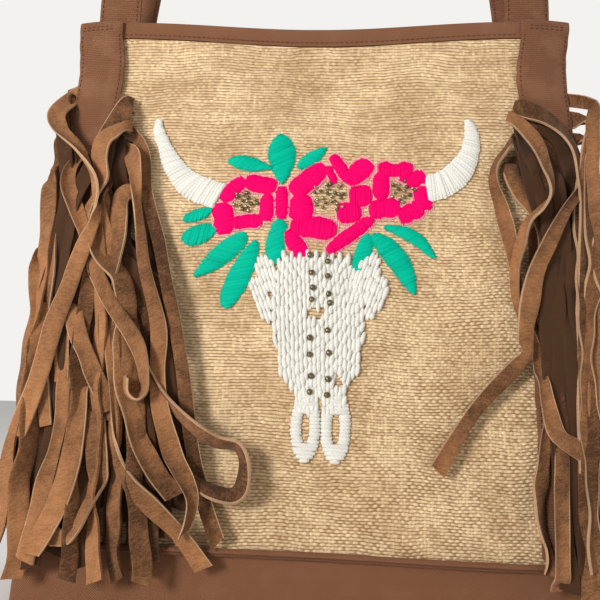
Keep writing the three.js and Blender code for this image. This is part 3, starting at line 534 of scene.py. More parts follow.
class ThreadSettings(PropertyGroup):
    yarn: length("Yarn", "Thickness of the white yarn", 0.0031)
    yarn_stitch: length("Yarn stitch", "Length of one white stitch on the face", 0.0084)
    floss: length("Floss", "Thickness of the pink and green floss", 0.0013)
    bead: length("Bead", "Diameter of a bead on the skull", 0.0040)
    small_bead: length("Small bead", "Diameter of a bead in the flowers", 0.0026)
    seed: random_seed("Changes the small differences between stitches", 3)


class ColourSettings(PropertyGroup):
    jute_light: colour("Jute, light", "Threads that catch the light", (0.90, 0.67, 0.40))
    jute_dark: colour("Jute, dark", "Threads in shade and worn ones", (0.44, 0.265, 0.125))
    # Painted shade in the holes and low places between the jute's threads
    jute_gap: colour("Jute, gap", "Gaps between the rows", (0.27, 0.148, 0.066))
    canvas: colour("Canvas", "Base, binding and gussets", (0.245, 0.103, 0.050))
    webbing: colour("Webbing", "Bands and handles", (0.205, 0.085, 0.041))
    worn: colour("Worn cloth", "Rubbed places of the brown cloth", (0.30, 0.140, 0.075))
    seam: colour("Sewing thread", "Stitches on the bands and binding", (0.125, 0.054, 0.029))
    suede: colour("Suede", "Faces of the fringe", (0.56, 0.250, 0.104))
    # The dark end of the suede: brushed places, and painted shade for lower, right-hand and underneath strips
    suede_dark: colour("Suede, dark", "Brushed places of the fringe", (0.070, 0.032, 0.016))
    suede_edge: colour("Suede edge", "Cut edges of the fringe", (0.62, 0.375, 0.215))
    yarn: colour("Yarn", "White thread work", (0.81, 0.785, 0.715))
    pink: colour("Pink floss", "Flowers", (0.92, 0.0, 0.145))
    pale_pink: colour("Pale pink floss", "Outline of the petals", (0.84, 0.42, 0.40))
    green: colour("Green floss", "Leaves", (0.0, 0.52, 0.335))
    brass: colour("Brass", "Lighter beads", (0.70, 0.57, 0.36))
    bronze: colour("Bronze", "Darker beads", (0.30, 0.25, 0.14))
    floor: colour("Floor", "Stage under the bag", (0.86, 0.85, 0.83))


class StageSettings(PropertyGroup):
    key: light_power("Key light", "Power of the light from the left front", 25)
    fill: light_power("Fill light", "Power of the light from the right front", 5)
    top: light_power("Top light", "Power of the light overhead", 3)
    sky: brightness("Surround", "Brightness of the surround in front", 0.18)
    back: brightness("Backdrop", "Brightness of the surround behind", 0.9)


# The bag's surface
def smoothstep(value, low, high):
    """A smooth rise from 0 at low to 1 at high."""
    share = np.clip((value - low) / (high - low), 0, 1)
    return share * share * (3 - 2 * share)


def unit(vectors):
    """Vectors scaled to length one."""
    return vectors / np.maximum(np.linalg.norm(vectors, axis=-1, keepdims=True), 1e-9)


def grid(*columns):
    """Points or coordinates whose columns are broadcast against each other."""
    return np.stack(np.broadcast_arrays(*columns), axis=-1)


def travelled(points):
    """How far each point lies along its row."""
    return np.cumsum(np.linalg.norm(np.diff(points, axis=0, prepend=points[:1]), axis=1))


def half_depth(z):
    """Half the bag's depth at a height."""
    return BASE_HALF_DEPTH - LEAN * z


def corner_tuck(x):
    """How far the face draws back towards its side edges."""
    inside = np.clip((np.abs(x) - (HALF_WIDTH - CORNER_REACH)) / CORNER_REACH, 0, 1)
    return CORNER_TUCK * inside ** 2


def dent_depth(x, z):
    """How far the front is pushed in by all its dents."""
    return sum(d.depth * np.exp(-((x - d.x) / d.reach_x) ** 2 - ((z - d.z) / d.reach_z) ** 2) for d in DENTS)


def ripple(x, z):
    """Low waves of the jute that die out at its seams."""
    waves = sum(r.height * np.sin(r.wave_x * x + r.wave_z * z + r.phase) for r in RIPPLES)
    grown = smoothstep(z, BOOT_HEIGHT + RIPPLE_START, BOOT_HEIGHT + RIPPLE_FULL)
    faded = smoothstep(z, HEIGHT - RIPPLE_FADE, HEIGHT - RIPPLE_END)
    return waves * grown * (1 - faded)


def on_front(x, z, lift=0.0):
    """The points that lie this far out from the front's jute."""
    x, z, lift = np.broadcast_arrays(np.asarray(x, float), z, lift)
    y = -half_depth(z) + corner_tuck(x) + dent_depth(x, z) + ripple(x, z) - lift
    return grid(x, y, z)


def on_back(x, z, lift=0.0):
    """The same on the plain back."""
    x, z, lift = np.broadcast_arrays(np.asarray(x, float), z, lift)
    y = half_depth(z) - corner_tuck(x) - ripple(-x, z) + lift
    return grid(x, y, z)


def mouth_sag(x):
    """How far the mouth hangs between the bands."""
    reach = BAND_CENTRE - BAND_WIDTH / 2
    return MOUTH_SAG * np.cos(np.pi * np.clip(x / reach, -1, 1) / 2) ** 2


def band_middle(side, z):
    """The middle of a band: it waists a little above the fringe and flares at the mouth."""
    flare = BAND_FLARE * smoothstep(z, BAND_FLARE_LOW, BAND_FLARE_HIGH)
    waist = BAND_WAIST * np.exp(-((z - BAND_WAIST_HEIGHT) / BAND_WAIST_REACH) ** 2)
    return side * (BAND_CENTRE + flare - waist)


def side_bow(share, z):
    """How far a gusset is drawn in between the two faces."""
    return SIDE_BOW * np.sin(np.pi * share) * z / HEIGHT


FACE_STEPS = 90
SIDE_STEPS = 22
CORNER_STEPS = 6


def bag_ring(z):
    """Points and outward directions round the bag at one height, seen from above."""
    deep = half_depth(z) - CORNER_TUCK
    at, out = [], []
    for quarter, (sx, sy) in enumerate(((1, 1), (-1, 1), (-1, -1), (1, -1))):
        centre = np.array([sx * (HALF_WIDTH - BAG_CORNER), sy * (deep - BAG_CORNER)])
        angle = math.pi / 2 * (quarter + np.linspace(0, 1, CORNER_STEPS))
        round_out = np.stack([np.cos(angle), np.sin(angle)], axis=-1)
        at.append(centre + BAG_CORNER * round_out)
        out.append(round_out)
        along_face = quarter % 2 == 0
        run = np.where((along_face, not along_face), -2 * centre, 0)
        share = np.linspace(0, 1, (FACE_STEPS if along_face else SIDE_STEPS) + 1)[1:-1, None]
        at.append(at[-1][-1] + share * run)
        out.append(np.repeat(round_out[-1:], len(share), axis=0))
    at, out = np.vstack(at), np.vstack(out)
    share = np.clip((at[:, 1] / deep + 1) / 2, 0, 1)
    swell = (CORNER_TUCK - corner_tuck(at[:, 0])) * np.abs(out[:, 1])
    dent = np.where(out[:, 1] < -0.5, dent_depth(at[:, 0], z), 0)
    bowed = np.where(np.abs(out[:, 0]) > 0.9, np.sign(out[:, 0]) * side_bow(share, z), 0)
    at[:, 1] += np.sign(out[:, 1]) * (swell - dent)
    at[:, 0] -= bowed
    return at, out


def ring_points(z, lift, height=None):
    """The bag's ring at z, moved out by lift and set at another height where one is given."""
    at, out = bag_ring(z)
    level = np.full(len(at), z) if height is None else np.broadcast_to(height, len(at))
    return np.column_stack([at + out * lift, level])


# Mesh building
def grid_faces(rows, columns, wrap=False, wrap_rows=False):
    """Quads of a grid of points kept row by row; wrap joins its last column to its first."""
    across = np.arange(columns if wrap else columns - 1)
    r, c = np.meshgrid(np.arange(rows if wrap_rows else rows - 1), across, indexing="ij")
    r_next, c_next = (r + 1) % rows, (c + 1) % columns
    corners = [r * columns + c, r * columns + c_next, r_next * columns + c_next, r_next * columns + c]
    return np.stack(corners, axis=-1).reshape(-1, 4)


class Body:
    """Gathers points, faces, cloth coordinates in mm, tones and material numbers of one piece."""

    def __init__(self):
        self.points, self.faces, self.cloth, self.tone, self.finish = [], [], [], [], []
        self.count = 0

    def add(self, points, faces, cloth, tone=0.5, finish=0):
        points = np.asarray(points).reshape(-1, 3)
        self.points.append(points)
        self.cloth.append(np.asarray(cloth).reshape(-1, 2))
        self.tone.append(np.broadcast_to(tone, len(points)))
        numbers = np.broadcast_to(finish, len(faces)).tolist()
        for face, number in zip(faces, numbers):
            self.faces.append([self.count + int(corner) for corner in face])
            self.finish.append(int(number))
        self.count += len(points)

    def shell(self, outer, inner, cloth, tone=0.5, finish=0, rim=None, pale=0):
        """A closed wall between two skins given row by row; rim is the material number of its cut edges,
        which on the pale side (or both if 0) reaches round on to the skins."""
        rows, columns = outer.shape[:2]
        points = np.concatenate([outer, inner[:, ::-1]], axis=1)
        coordinates = np.concatenate([cloth, cloth[:, ::-1]], axis=1)
        faces = grid_faces(rows, 2 * columns, wrap=True)
        rim = finish if rim is None else rim
        column = np.tile(np.arange(2 * columns), rows - 1)
        cut = [columns - 1, 2 * columns - 1]
        cut += [0, 2 * columns - 2] if pale <= 0 else []
        cut += [columns - 2, columns] if pale >= 0 else []
        numbers = np.where(np.isin(column, cut), rim, finish)
        k = np.arange(columns - 1)
        last = (rows - 1) * 2 * columns
        top = np.stack([k, k + 1, 2 * columns - 2 - k, 2 * columns - 1 - k], axis=-1)
        faces = np.concatenate([faces, top, top + last])
        numbers = np.concatenate([numbers, np.full(2 * len(top), rim)])
        self.add(points, faces, coordinates, tone, numbers)

    def tubes(self, paths, radii, facing, sides, flat=1.0, tone=0.5, finish=0):
        """Round threads with closed ends along paths (count, steps, 3); facing points away from the cloth."""
        count, steps = paths.shape[:2]
        along = unit(np.gradient(paths, axis=1))
        side = unit(np.cross(along, facing))
        up = np.cross(side, along)
        angle = 2 * np.pi * np.arange(sides) / sides - np.pi / 2
        ring = np.cos(angle)[:, None] * side[:, :, None] + flat * np.sin(angle)[:, None] * up[:, :, None]
        points = paths[:, :, None] + radii[:, :, None, None] * ring
        travel = np.cumsum(np.linalg.norm(np.diff(paths, axis=1, prepend=paths[:, :1]), axis=-1), axis=1)
        cloth = grid(np.arange(sides) / sides, travel[:, :, None])
        tones = np.broadcast_to(np.reshape(tone, (-1, 1, 1)), points.shape[:3])
        sleeve = grid_faces(steps, sides, wrap=True)
        start = np.arange(count)[:, None, None] * steps * sides
        cap = np.arange(sides)
        caps = np.concatenate([cap[None, ::-1], cap[None] + (steps - 1) * sides])
        faces = (start + sleeve).reshape(-1, 4).tolist() + (start + caps).reshape(-1, sides).tolist()
        self.add(points, faces, cloth, tones.reshape(-1), finish)

    def piece(self, name, finishes, slot=None, replaced=(), sharp=50):
        """The finished object: riding, with its cloth coordinates, tones and materials."""
        mesh = bpy.data.meshes.new(name)
        mesh.from_pydata((np.concatenate(self.points) * MM).tolist(), [], self.faces)
        mesh.polygons.foreach_set("material_index", self.finish)
        corner = np.empty(len(mesh.loops), dtype=np.int32)
        mesh.loops.foreach_get("vertex_index", corner)
        layer = mesh.uv_layers.new(name="cloth")
        layer.uv.foreach_set("vector", np.concatenate(self.cloth)[corner].astype(np.float32).ravel())
        tone = mesh.attributes.new("tone", "FLOAT", "POINT")
        tone.data.foreach_set("value", np.concatenate(self.tone).astype(np.float32))
        for finish in finishes:
            mesh.materials.append(finish_material(finish))
        made = bmesh.new()
        made.from_mesh(mesh)
        bmesh.ops.recalc_face_normals(made, faces=made.faces)
        made.to_mesh(mesh)
        made.free()
        mesh.shade_smooth()
        mesh.set_sharp_from_angle(angle=math.radians(sharp))
        piece = bpy.data.objects.new(name, mesh)
        bpy.context.scene.collection.objects.link(piece)
        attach(piece, "root")
        if replaced:
            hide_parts(*replaced)
        return piece


FRONT_FACING = np.array([0.0, -1.0, LEAN])
BACK_FACING = np.array([0.0, 1.0, LEAN])


def laid_threads(body, ends, radius, lift, rise, steps=7, sides=6, flat=0.8, taper=0.5, tone=0.5, finish=0,
                 face=on_front):
    """Stitches whose ends dip into the cloth; ends is (count, 4): from x, z to x, z in mm."""
    ends = np.asarray(ends, float).reshape(-1, 4)
    share = np.linspace(0, 1, steps)
    x = ends[:, :1] + (ends[:, 2:3] - ends[:, :1]) * share
    z = ends[:, 1:2] + (ends[:, 3:4] - ends[:, 1:2]) * share
    bow = np.sqrt(np.sin(np.pi * share))
    radii = np.reshape(radius, (-1, 1)) * (1 - taper + taper * bow) * np.ones((len(ends), 1))
    paths = face(x, z, np.reshape(lift, (-1, 1)) + rise * bow)
    facing = FRONT_FACING if face is on_front else BACK_FACING
    body.tubes(paths, radii, facing, sides, flat, tone, finish)


def seam_ends(settings, start, stop):
    """First and last place of each stitch of a seam from start to stop, in mm."""
    stitch, gap = settings.seam_stitch / MM, settings.seam_gap / MM
    count = int(abs(stop - start) // (stitch + gap))
    first = start + np.sign(stop - start) * (stitch + gap) * np.arange(count)
    return first, first + np.sign(stop - start) * stitch


# Node building
class Graph:
    """Adds nodes to one node tree and joins them."""

    def __init__(self, tree):
        self.tree = tree

    def node(self, kind, **settings):
        made = self.tree.nodes.new(kind)
        for name, value in settings.items():
            setattr(made, name, value)
        return made

    def put(self, socket, value):
        if isinstance(value, bpy.types.NodeSocket):
            self.tree.links.new(value, socket)
        else:
            socket.default_value = value

    def fill(self, made, **values):
        for label, value in values.items():
            self.put(made.inputs[label.replace("_", " ")], value)

    def math(self, operation, *values, clamp=False):
        made = self.node("ShaderNodeMath", operation=operation, use_clamp=clamp)
        for socket, value in zip(made.inputs, values):
            self.put(socket, value)
        return made.outputs[0]

    def add(self, first, second, clamp=False):
        return self.math("ADD", first, second, clamp=clamp)

    def minus(self, first, second, clamp=False):
        return self.math("SUBTRACT", first, second, clamp=clamp)

    def times(self, first, second):
        return self.math("MULTIPLY", first, second)

    def over(self, first, second):
        return self.math("DIVIDE", first, second)

    def remap(self, value, low, high, to_low=0.0, to_high=1.0):
        made = self.node("ShaderNodeMapRange", interpolation_type="SMOOTHSTEP")
        self.fill(made, Value=value, From_Min=low, From_Max=high, To_Min=to_low, To_Max=to_high)
        return made.outputs["Result"]

    def mix(self, share, first, second):
        made = self.node("ShaderNodeMix", data_type="RGBA")
        self.put(made.inputs["Factor"], share)
        for socket, value in ((made.inputs[6], first), (made.inputs[7], second)):
            self.put(socket, value if isinstance(value, bpy.types.NodeSocket) else (*value, 1))
        return made.outputs[2]

    def join(self, x, y, z=0.0):
        made = self.node("ShaderNodeCombineXYZ")
        for socket, value in zip(made.inputs, (x, y, z)):
            self.put(socket, value)
        return made.outputs[0]

    def split(self, vector):
        made = self.node("ShaderNodeSeparateXYZ")
        self.put(made.inputs[0], vector)
        return made.outputs

    def noise(self, vector, scale, detail=2.0, rough=0.5):
        made = self.node("ShaderNodeTexNoise")
        self.fill(made, Vector=vector, Scale=scale, Detail=detail, Roughness=rough)
        return made.outputs[0]

    def chance(self, value):
        made = self.node("ShaderNodeTexWhiteNoise", noise_dimensions="1D")
        self.put(made.inputs["W"], value)
        return made.outputs["Value"]

    def group(self, name, **values):
        made = self.node("ShaderNodeGroup", node_tree=bpy.data.node_groups[name])
        self.fill(made, **values)
        return made.outputs


def new_group(name, inputs, outputs):
    """An empty node group with float inputs (and a vector named Place) and float outputs."""
    tree = bpy.data.node_groups.new(name, "ShaderNodeTree")
    for label in inputs:
        kind = "NodeSocketVector" if label == "Place" else "NodeSocketFloat"
        tree.interface.new_socket(name=label, in_out="INPUT", socket_type=kind)
    for label in outputs:
        tree.interface.new_socket(name=label, in_out="OUTPUT", socket_type="NodeSocketFloat")
    graph = Graph(tree)
    return graph, graph.node("NodeGroupInput").outputs, graph.node("NodeGroupOutput").inputs


def plain_weave_group():
    """Open over-and-under weave: height, painted shade in the holes and low places between threads, and a
    tone for each crossing.
    """
    g, given, put_out = new_group("Plain weave", ("Place", "Pitch", "Wander"), ("Height", "Gap", "Thread"))
    x, y, _ = g.split(given["Place"])

    def drift(shift):
        moved = g.join(g.add(x, shift), g.add(y, shift))
        broad = g.minus(g.noise(moved, 0.018, 2.0), 0.5)
        small = g.times(g.minus(g.noise(moved, 0.22, 2.0), 0.5), 0.12)
        return g.times(g.add(broad, small), given["Wander"])

    beaten = g.times(y, g.minus(1.13, g.times(y, 0.000315)))
    up = g.over(g.add(beaten, drift(0.0)), given["Pitch"])
    row = g.math("FLOOR", up)
    row_tone = g.chance(row)
    uneven = g.noise(g.join(g.times(x, 0.30), g.times(row, 3.1)), 1.0, 1.0)
    step = g.times(g.minus(g.add(uneven, g.times(row_tone, 0.3)), 0.65), 0.5)
    across = g.over(g.add(x, drift(300.0)), g.times(given["Pitch"], 1.04))
    across = g.add(across, step)
    column = g.math("FLOOR", across)
    fx = g.minus(g.math("FRACT", across), 0.5)
    fy = g.minus(g.math("FRACT", up), 0.5)
    odd = g.math("MODULO", g.math("ABSOLUTE", g.add(column, row)), 2.0)
    sign = g.minus(g.times(odd, 2.0), 1.0)
    cell_tone = g.chance(g.add(g.times(row, 61.7), column))

    def crown(offset, half):
        side = g.over(offset, half)
        return g.math("SQRT", g.minus(1.0, g.times(side, side), clamp=True))

    def wave(offset, depth):
        return g.times(sign, g.times(g.math("COSINE", g.times(offset, math.pi)), depth))

    slub = g.noise(g.join(g.times(x, 0.12), row), 1.0, 1.0)
    weft_half = g.add(0.34, g.add(g.times(slub, 0.15), g.times(cell_tone, 0.06)))
    dip = g.remap(g.minus(x, g.times(y, 0.8)), -210.0, 30.0, 0.14, 0.36)
    weft = g.times(crown(fy, weft_half), g.minus(0.60, wave(fx, dip)))
    shown = g.remap(g.noise(given["Place"], 0.03, 3.0, 0.7), 0.35, 0.65, 0.12, 0.30)
    shown = g.add(shown, g.times(g.minus(cell_tone, 0.5), 0.22))
    warp = g.times(crown(fx, 0.46), g.add(shown, wave(fy, 0.14)))
    height = g.math("MAXIMUM", weft, warp)
    tone = g.add(g.times(row_tone, 0.35), g.times(cell_tone, 0.65))
    g.put(put_out["Height"], height)
    # Gap is painted shade: dark wherever the threads lie low
    g.put(put_out["Gap"], g.remap(height, 0.42, 0.06))
    g.put(put_out["Thread"], tone)


def rib_group():
    """Ribs of webbing or twill: height, painted shade in the grooves and a tone for each rib."""
    g, given, put_out = new_group("Ribbed cloth", ("Place", "Pitch", "Slant"), ("Height", "Groove", "Rib"))
    x, y, _ = g.split(given["Place"])
    shake = g.times(g.minus(g.noise(given["Place"], 0.25, 2.0), 0.5), 0.5)
    level = g.add(g.add(y, shake), g.times(x, given["Slant"]))
    turn = g.over(level, given["Pitch"])
    rib = g.math("FLOOR", turn)
    wave = g.math("COSINE", g.times(g.minus(g.math("FRACT", turn), 0.5), 5.6))
    beat = g.add(g.over(x, given["Pitch"]), g.times(rib, 0.5))
    bead = g.math("ABSOLUTE", g.math("SINE", g.times(beat, math.pi)))
    height = g.add(g.times(wave, 0.5), g.times(bead, 0.35))
    g.put(put_out["Height"], height)
    g.put(put_out["Groove"], g.remap(height, 0.25, -0.35))
    g.put(put_out["Rib"], g.chance(rib))


def cloud_group():
    """Soft patches for uneven dye, rubbed places and nap: a broad tone and a fine grain."""
    g, given, put_out = new_group("Uneven tone", ("Place", "Patch", "Grain"), ("Tone", "Fine"))
    broad = g.noise(given["Place"], g.over(1.0, given["Patch"]), 3.0, 0.55)
    g.put(put_out["Tone"], g.remap(broad, 0.32, 0.68))
    g.put(put_out["Fine"], g.noise(given["Place"], g.over(1.0, given["Grain"]), 3.0, 0.65))


def twist_group():
    """Twisted strands of a thread: height, and shade between strands."""
    g, given, put_out = new_group("Twisted thread", ("Place", "Pitch", "Strands"), ("Height", "Shade"))
    x, y, _ = g.split(given["Place"])
    turn = g.add(g.times(x, given["Strands"]), g.over(y, given["Pitch"]))
    wave = g.math("ABSOLUTE", g.math("SINE", g.times(turn, math.pi)))
    g.put(put_out["Height"], wave)
    g.put(put_out["Shade"], g.remap(wave, 0.05, 0.7))


# Materials
class Finish(Graph):
    """A material with one shader, its cloth coordinates in mm and its pieces' tone."""

    def __init__(self, name, sheen=0.0, specular=0.3):
        self.material = bpy.data.materials.new("tote_" + name)
        self.material.use_nodes = True
        super().__init__(self.material.node_tree)
        self.shader = next(n for n in self.tree.nodes if n.type == "BSDF_PRINCIPLED")
        self.shader.inputs["Sheen Weight"].default_value = sheen
        self.shader.inputs["Sheen Roughness"].default_value = 0.5
        self.shader.inputs["Specular IOR Level"].default_value = specular
        self.place = self.node("ShaderNodeUVMap", uv_map="cloth").outputs[0]
        self.tone = self.node("ShaderNodeAttribute", attribute_name="tone").outputs["Fac"]

    def shade(self, paint, roughness, height, depth):
        """Joins a colour, a roughness and a relief whose depth is in metres."""
        self.put(self.shader.inputs["Base Color"], paint)
        self.put(self.shader.inputs["Roughness"], roughness)
        bump = self.node("ShaderNodeBump")
        bump.inputs["Distance"].default_value = depth
        self.put(bump.inputs["Height"], height)
        self.put(self.shader.inputs["Normal"], bump.outputs[0])
        return self.material


def shade_of(colour_value, factor):
    """A colour made lighter or darker."""
    return tuple(min(1.0, part * factor) for part in colour_value)


def jute_finish(colours, cloth):
    """Coarse weave with lighter, darker and worn threads; high threads are painted lighter and the gaps get
    painted shade.
    """
    f = Finish("jute", sheen=0.05, specular=0.15)
    weave = f.group("Plain weave", Place=f.place, Pitch=cloth.jute_pitch / MM, Wander=9.0)
    cloud = f.group("Uneven tone", Place=f.place, Patch=42.0, Grain=0.6)
    # Threads are painted lighter the higher they lie: painted light on their tops
    tone = f.add(f.times(weave["Thread"], 0.5), f.times(weave["Height"], 0.7))
    tone = f.add(tone, f.times(f.minus(cloud["Tone"], 0.70), 0.42))
    tone = f.add(tone, f.times(f.minus(cloud["Fine"], 0.5), 0.4), clamp=True)
    thread = f.mix(tone, tuple(colours.jute_dark), tuple(colours.jute_light))
    # Painted shade in the gaps between the threads
    paint = f.mix(weave["Gap"], thread, tuple(colours.jute_gap))
    height = f.add(weave["Height"], f.times(cloud["Fine"], 0.25))
    return f.shade(paint, f.remap(cloud["Fine"], 0.2, 0.8, 0.8, 0.97), height, 0.0007)


def brown_cloth(name, main, colours, pitch, slant, rub):
    """Ribbed brown cloth with rubbed places and painted shade in its grooves."""
    f = Finish(name, sheen=0.04, specular=0.15)
    ribs = f.group("Ribbed cloth", Place=f.place, Pitch=pitch / MM, Slant=slant)
    cloud = f.group("Uneven tone", Place=f.place, Patch=22.0, Grain=0.4)
    # The grooves between ribs are darkened as painted shade
    paint = f.mix(f.times(ribs["Groove"], 0.95), tuple(main), shade_of(main, 0.4))
    paint = f.mix(f.times(cloud["Fine"], 0.6), paint, shade_of(main, 1.3))
    rubbed = f.add(f.times(cloud["Tone"], 0.7), f.times(cloud["Fine"], 0.6))
    rubbed = f.times(f.remap(rubbed, 0.5, 1.15), rub)
    paint = f.mix(rubbed, paint, tuple(colours.worn))
    height = f.add(ribs["Height"], f.times(cloud["Fine"], 0.5))
    return f.shade(paint, f.remap(cloud["Fine"], 0.2, 0.8, 0.78, 0.97), height, 0.0004)


def suede_face(name, main, dark, depth, spread, patch):
    """Napped suede: brushed patches, a short grain, slanted nap marks and a tone for each strip that carries
    painted shade.
    """
    main, dark = tuple(main), tuple(dark)
    f = Finish(name, sheen=0.08, specular=0.06)
    cloud = f.group("Uneven tone", Place=f.place, Patch=patch, Grain=0.8)
    x, y, _ = f.split(f.place)
    along_nap = f.add(f.times(x, 0.35), f.times(y, 0.14))
    across_nap = f.minus(y, f.times(x, 0.40))
    nap = f.group("Uneven tone", Place=f.join(along_nap, across_nap), Patch=1.5, Grain=0.3)
    tone = f.add(f.times(cloud["Tone"], 0.16), f.times(nap["Tone"], 0.16))
    tone = f.add(tone, f.times(f.minus(cloud["Fine"], 0.34), 0.9))
    # Each strip's tone brings in its painted shade
    tone = f.add(tone, f.times(f.minus(f.tone, 0.25), spread), clamp=True)
    paint = f.mix(tone, dark, main)
    height = f.add(cloud["Fine"], f.times(nap["Tone"], 0.6))
    return f.shade(paint, f.remap(cloud["Fine"], 0.2, 0.8, 0.85, 1.0), height, depth)


def thread_finish(name, main, pitch, strands, dark, depth, roughness, sheen):
    """Twisted thread with a tone for each stitch and darker creases between its strands."""
    f = Finish(name, sheen=sheen, specular=0.05)
    twist = f.group("Twisted thread", Place=f.place, Pitch=pitch, Strands=strands)
    fine = f.group("Uneven tone", Place=f.place, Patch=6.0, Grain=0.3)
    shade = f.add(f.times(twist["Shade"], 0.6), f.times(f.tone, 0.4), clamp=True)
    paint = f.mix(shade, shade_of(main, dark), tuple(main))
    height = f.add(twist["Height"], f.times(fine["Fine"], 0.4))
    return f.shade(paint, f.remap(fine["Fine"], 0.2, 0.8, roughness - 0.08, roughness + 0.08), height, depth)


def bead_finish(name, main, roughness):
    """Tarnished metal: brighter where it is rubbed."""
    f = Finish(name, specular=0.5)
    cloud = f.group("Uneven tone", Place=f.place, Patch=1.6, Grain=0.3)
    paint = f.mix(cloud["Tone"], shade_of(main, 0.4), tuple(main))
    f.shader.inputs["Metallic"].default_value = 1.0
    rubbed = f.remap(cloud["Fine"], 0.3, 0.7, roughness - 0.07, roughness + 0.1)
    return f.shade(paint, rubbed, cloud["Fine"], 0.00003)


def floor_finish(colours):
    """Matt pale floor."""
    f = Finish("floor", specular=0.1)
    cloud = f.group("Uneven tone", Place=f.place, Patch=400.0, Grain=9.0)
    paint = f.mix(cloud["Tone"], shade_of(colours.floor, 0.985), tuple(colours.floor))
    return f.shade(paint, f.remap(cloud["Fine"], 0.3, 0.7, 0.8, 0.9), cloud["Fine"], 0.00005)


def build_finish(name):
    """Makes one material from the scene's settings."""
    scene = bpy.context.scene
    colours, cloth = scene.tote_colours, scene.tote_cloth
    makers = {
        "jute": lambda: jute_finish(colours, cloth),
        "canvas": lambda: brown_cloth(name, colours.canvas, colours, cloth.twill_pitch, 0.8, 0.35),
        "webbing": lambda: brown_cloth(name, colours.webbing, colours, cloth.rib_pitch, 0.0, 0.55),
        "seam": lambda: thread_finish(name, colours.seam, 0.7, 2.0, 0.6, 0.0001, 0.8, 0.0),
        "suede": lambda: suede_face(name, colours.suede, colours.suede_dark, 0.00024, 1.1, 9.0),
        "suede_edge": lambda: suede_face(name, colours.suede_edge, shade_of(colours.suede_edge, 0.6),
                                         0.00015, 0.4, 14.0),
        "white_yarn": lambda: thread_finish(name, colours.yarn, 2.2, 3.0, 0.82, 0.00012, 0.85, 0.1),
        "pink_floss": lambda: thread_finish(name, colours.pink, 1.6, 2.0, 0.70, 0.00008, 0.6, 0.0),
        "pale_floss": lambda: thread_finish(name, colours.pale_pink, 1.4, 2.0, 0.85, 0.00006, 0.7, 0.0),
        "green_floss": lambda: thread_finish(name, colours.green, 1.6, 2.0, 0.63, 0.00008, 0.55, 0.0),
        "brass": lambda: bead_finish(name, colours.brass, 0.30),
        "bronze": lambda: bead_finish(name, colours.bronze, 0.26),
        "floor": lambda: floor_finish(colours),
    }
    return makers[name]()


def finish_material(name):
    """The material of this name, made when it is first wanted."""
    if "Plain weave" not in bpy.data.node_groups:
        plain_weave_group()
        rib_group()
        cloud_group()
        twist_group()
    return bpy.data.materials.get("tote_" + name) or build_finish(name)


# Walls, base and binding
PANEL_COLUMNS = 121
PANEL_ROWS = 121
GUSSET_COLUMNS = 24
GUSSET_ROWS = 60
BOOT_OUTER_ROWS = 9
BOOT_INNER_ROWS = 5
PIPING_SIDES = 14
BINDING_WALL_ROWS = 5
BINDING_FOLD_ROWS = 7


class TOTE_OT_walls(Operator):
    """Jute front and back and the canvas gussets between them"""
    bl_idname = "tote.walls"
    bl_label = "Walls"

    def execute(self, context):
        low = BOOT_HEIGHT + GAP
        half = HALF_WIDTH - PANEL_INSET
        x = np.linspace(-half, half, PANEL_COLUMNS)[None, :]
        high = HEIGHT - BINDING_HEIGHT - GAP - mouth_sag(x)
        z = low + (high - low) * np.linspace(0, 1, PANEL_ROWS)[:, None]
        cloth = grid(x, z)
        for name, face in (("front_panel", on_front), ("back_panel", on_back)):
            body = Body()
            body.shell(face(x, z), face(x, z, -CLOTH), cloth)
            panel = body.piece("jute_" + name, ["jute"], "jute", [name])
        z = np.linspace(low, HEIGHT - BINDING_HEIGHT - GAP, GUSSET_ROWS)[:, None]
        share = np.linspace(0, 1, GUSSET_COLUMNS)[None, :]
        reach = half_depth(z) - CORNER_TUCK - CLOTH - GAP
        y = reach * (2 * share - 1)
        for name, side in (("gusset_left", -1), ("gusset_right", 1)):
            def skin(inset):
                return grid(side * (HALF_WIDTH - inset - side_bow(share, z)), y, z)
            body = Body()
            body.shell(skin(0), skin(CLOTH), grid(y, z))
            gusset = body.piece("canvas_" + name, ["canvas"], "canvas", [name])
        return {"FINISHED"}


class TOTE_OT_base(Operator):
    """Canvas boot and the corded piping round its top seam"""
    bl_idname = "tote.base"
    bl_label = "Base and piping"

    def execute(self, context):
        outer_levels = np.linspace(0, BOOT_HEIGHT, BOOT_OUTER_ROWS)
        inner_levels = np.linspace(BOOT_HEIGHT, BOOT_FLOOR, BOOT_INNER_ROWS)
        rings = [ring_points(z, 0) for z in outer_levels] + [ring_points(z, -BOOT_WALL) for z in inner_levels]
        points = np.stack(rings)
        count = points.shape[1]
        travel = travelled(points[0])
        cloth = grid(travel[None, :], points[:, :, 2])
        faces = grid_faces(len(rings), count, wrap=True).tolist()
        faces.append(list(range(count)))
        faces.append(list(range((len(rings) - 1) * count, len(rings) * count)))
        body = Body()
        body.add(points, faces, cloth)
        body.piece("canvas_boot", ["canvas"], "canvas", ["base_boot"])

        centre = ring_points(BOOT_HEIGHT, PIPING_LIFT)
        angle = 2 * np.pi * np.arange(PIPING_SIDES) / PIPING_SIDES
        _, out = bag_ring(BOOT_HEIGHT)
        swing = np.stack([np.outer(out[:, 0], np.cos(angle)), np.outer(out[:, 1], np.cos(angle)),
                          np.tile(np.sin(angle), (len(out), 1))], axis=-1)
        wobble = 1 + 0.05 * np.sin(travel / 9) * np.sin(travel / 23)
        tube = centre[:, None] + PIPING_RADIUS * wobble[:, None, None] * swing
        around = PIPING_RADIUS * angle
        cloth = grid(travel[:, None], around[None, :])
        body = Body()
        body.add(tube, grid_faces(len(out), PIPING_SIDES, wrap=True, wrap_rows=True), cloth)
        body.piece("corded_piping", ["canvas"], "canvas", ["piping"])
        return {"FINISHED"}


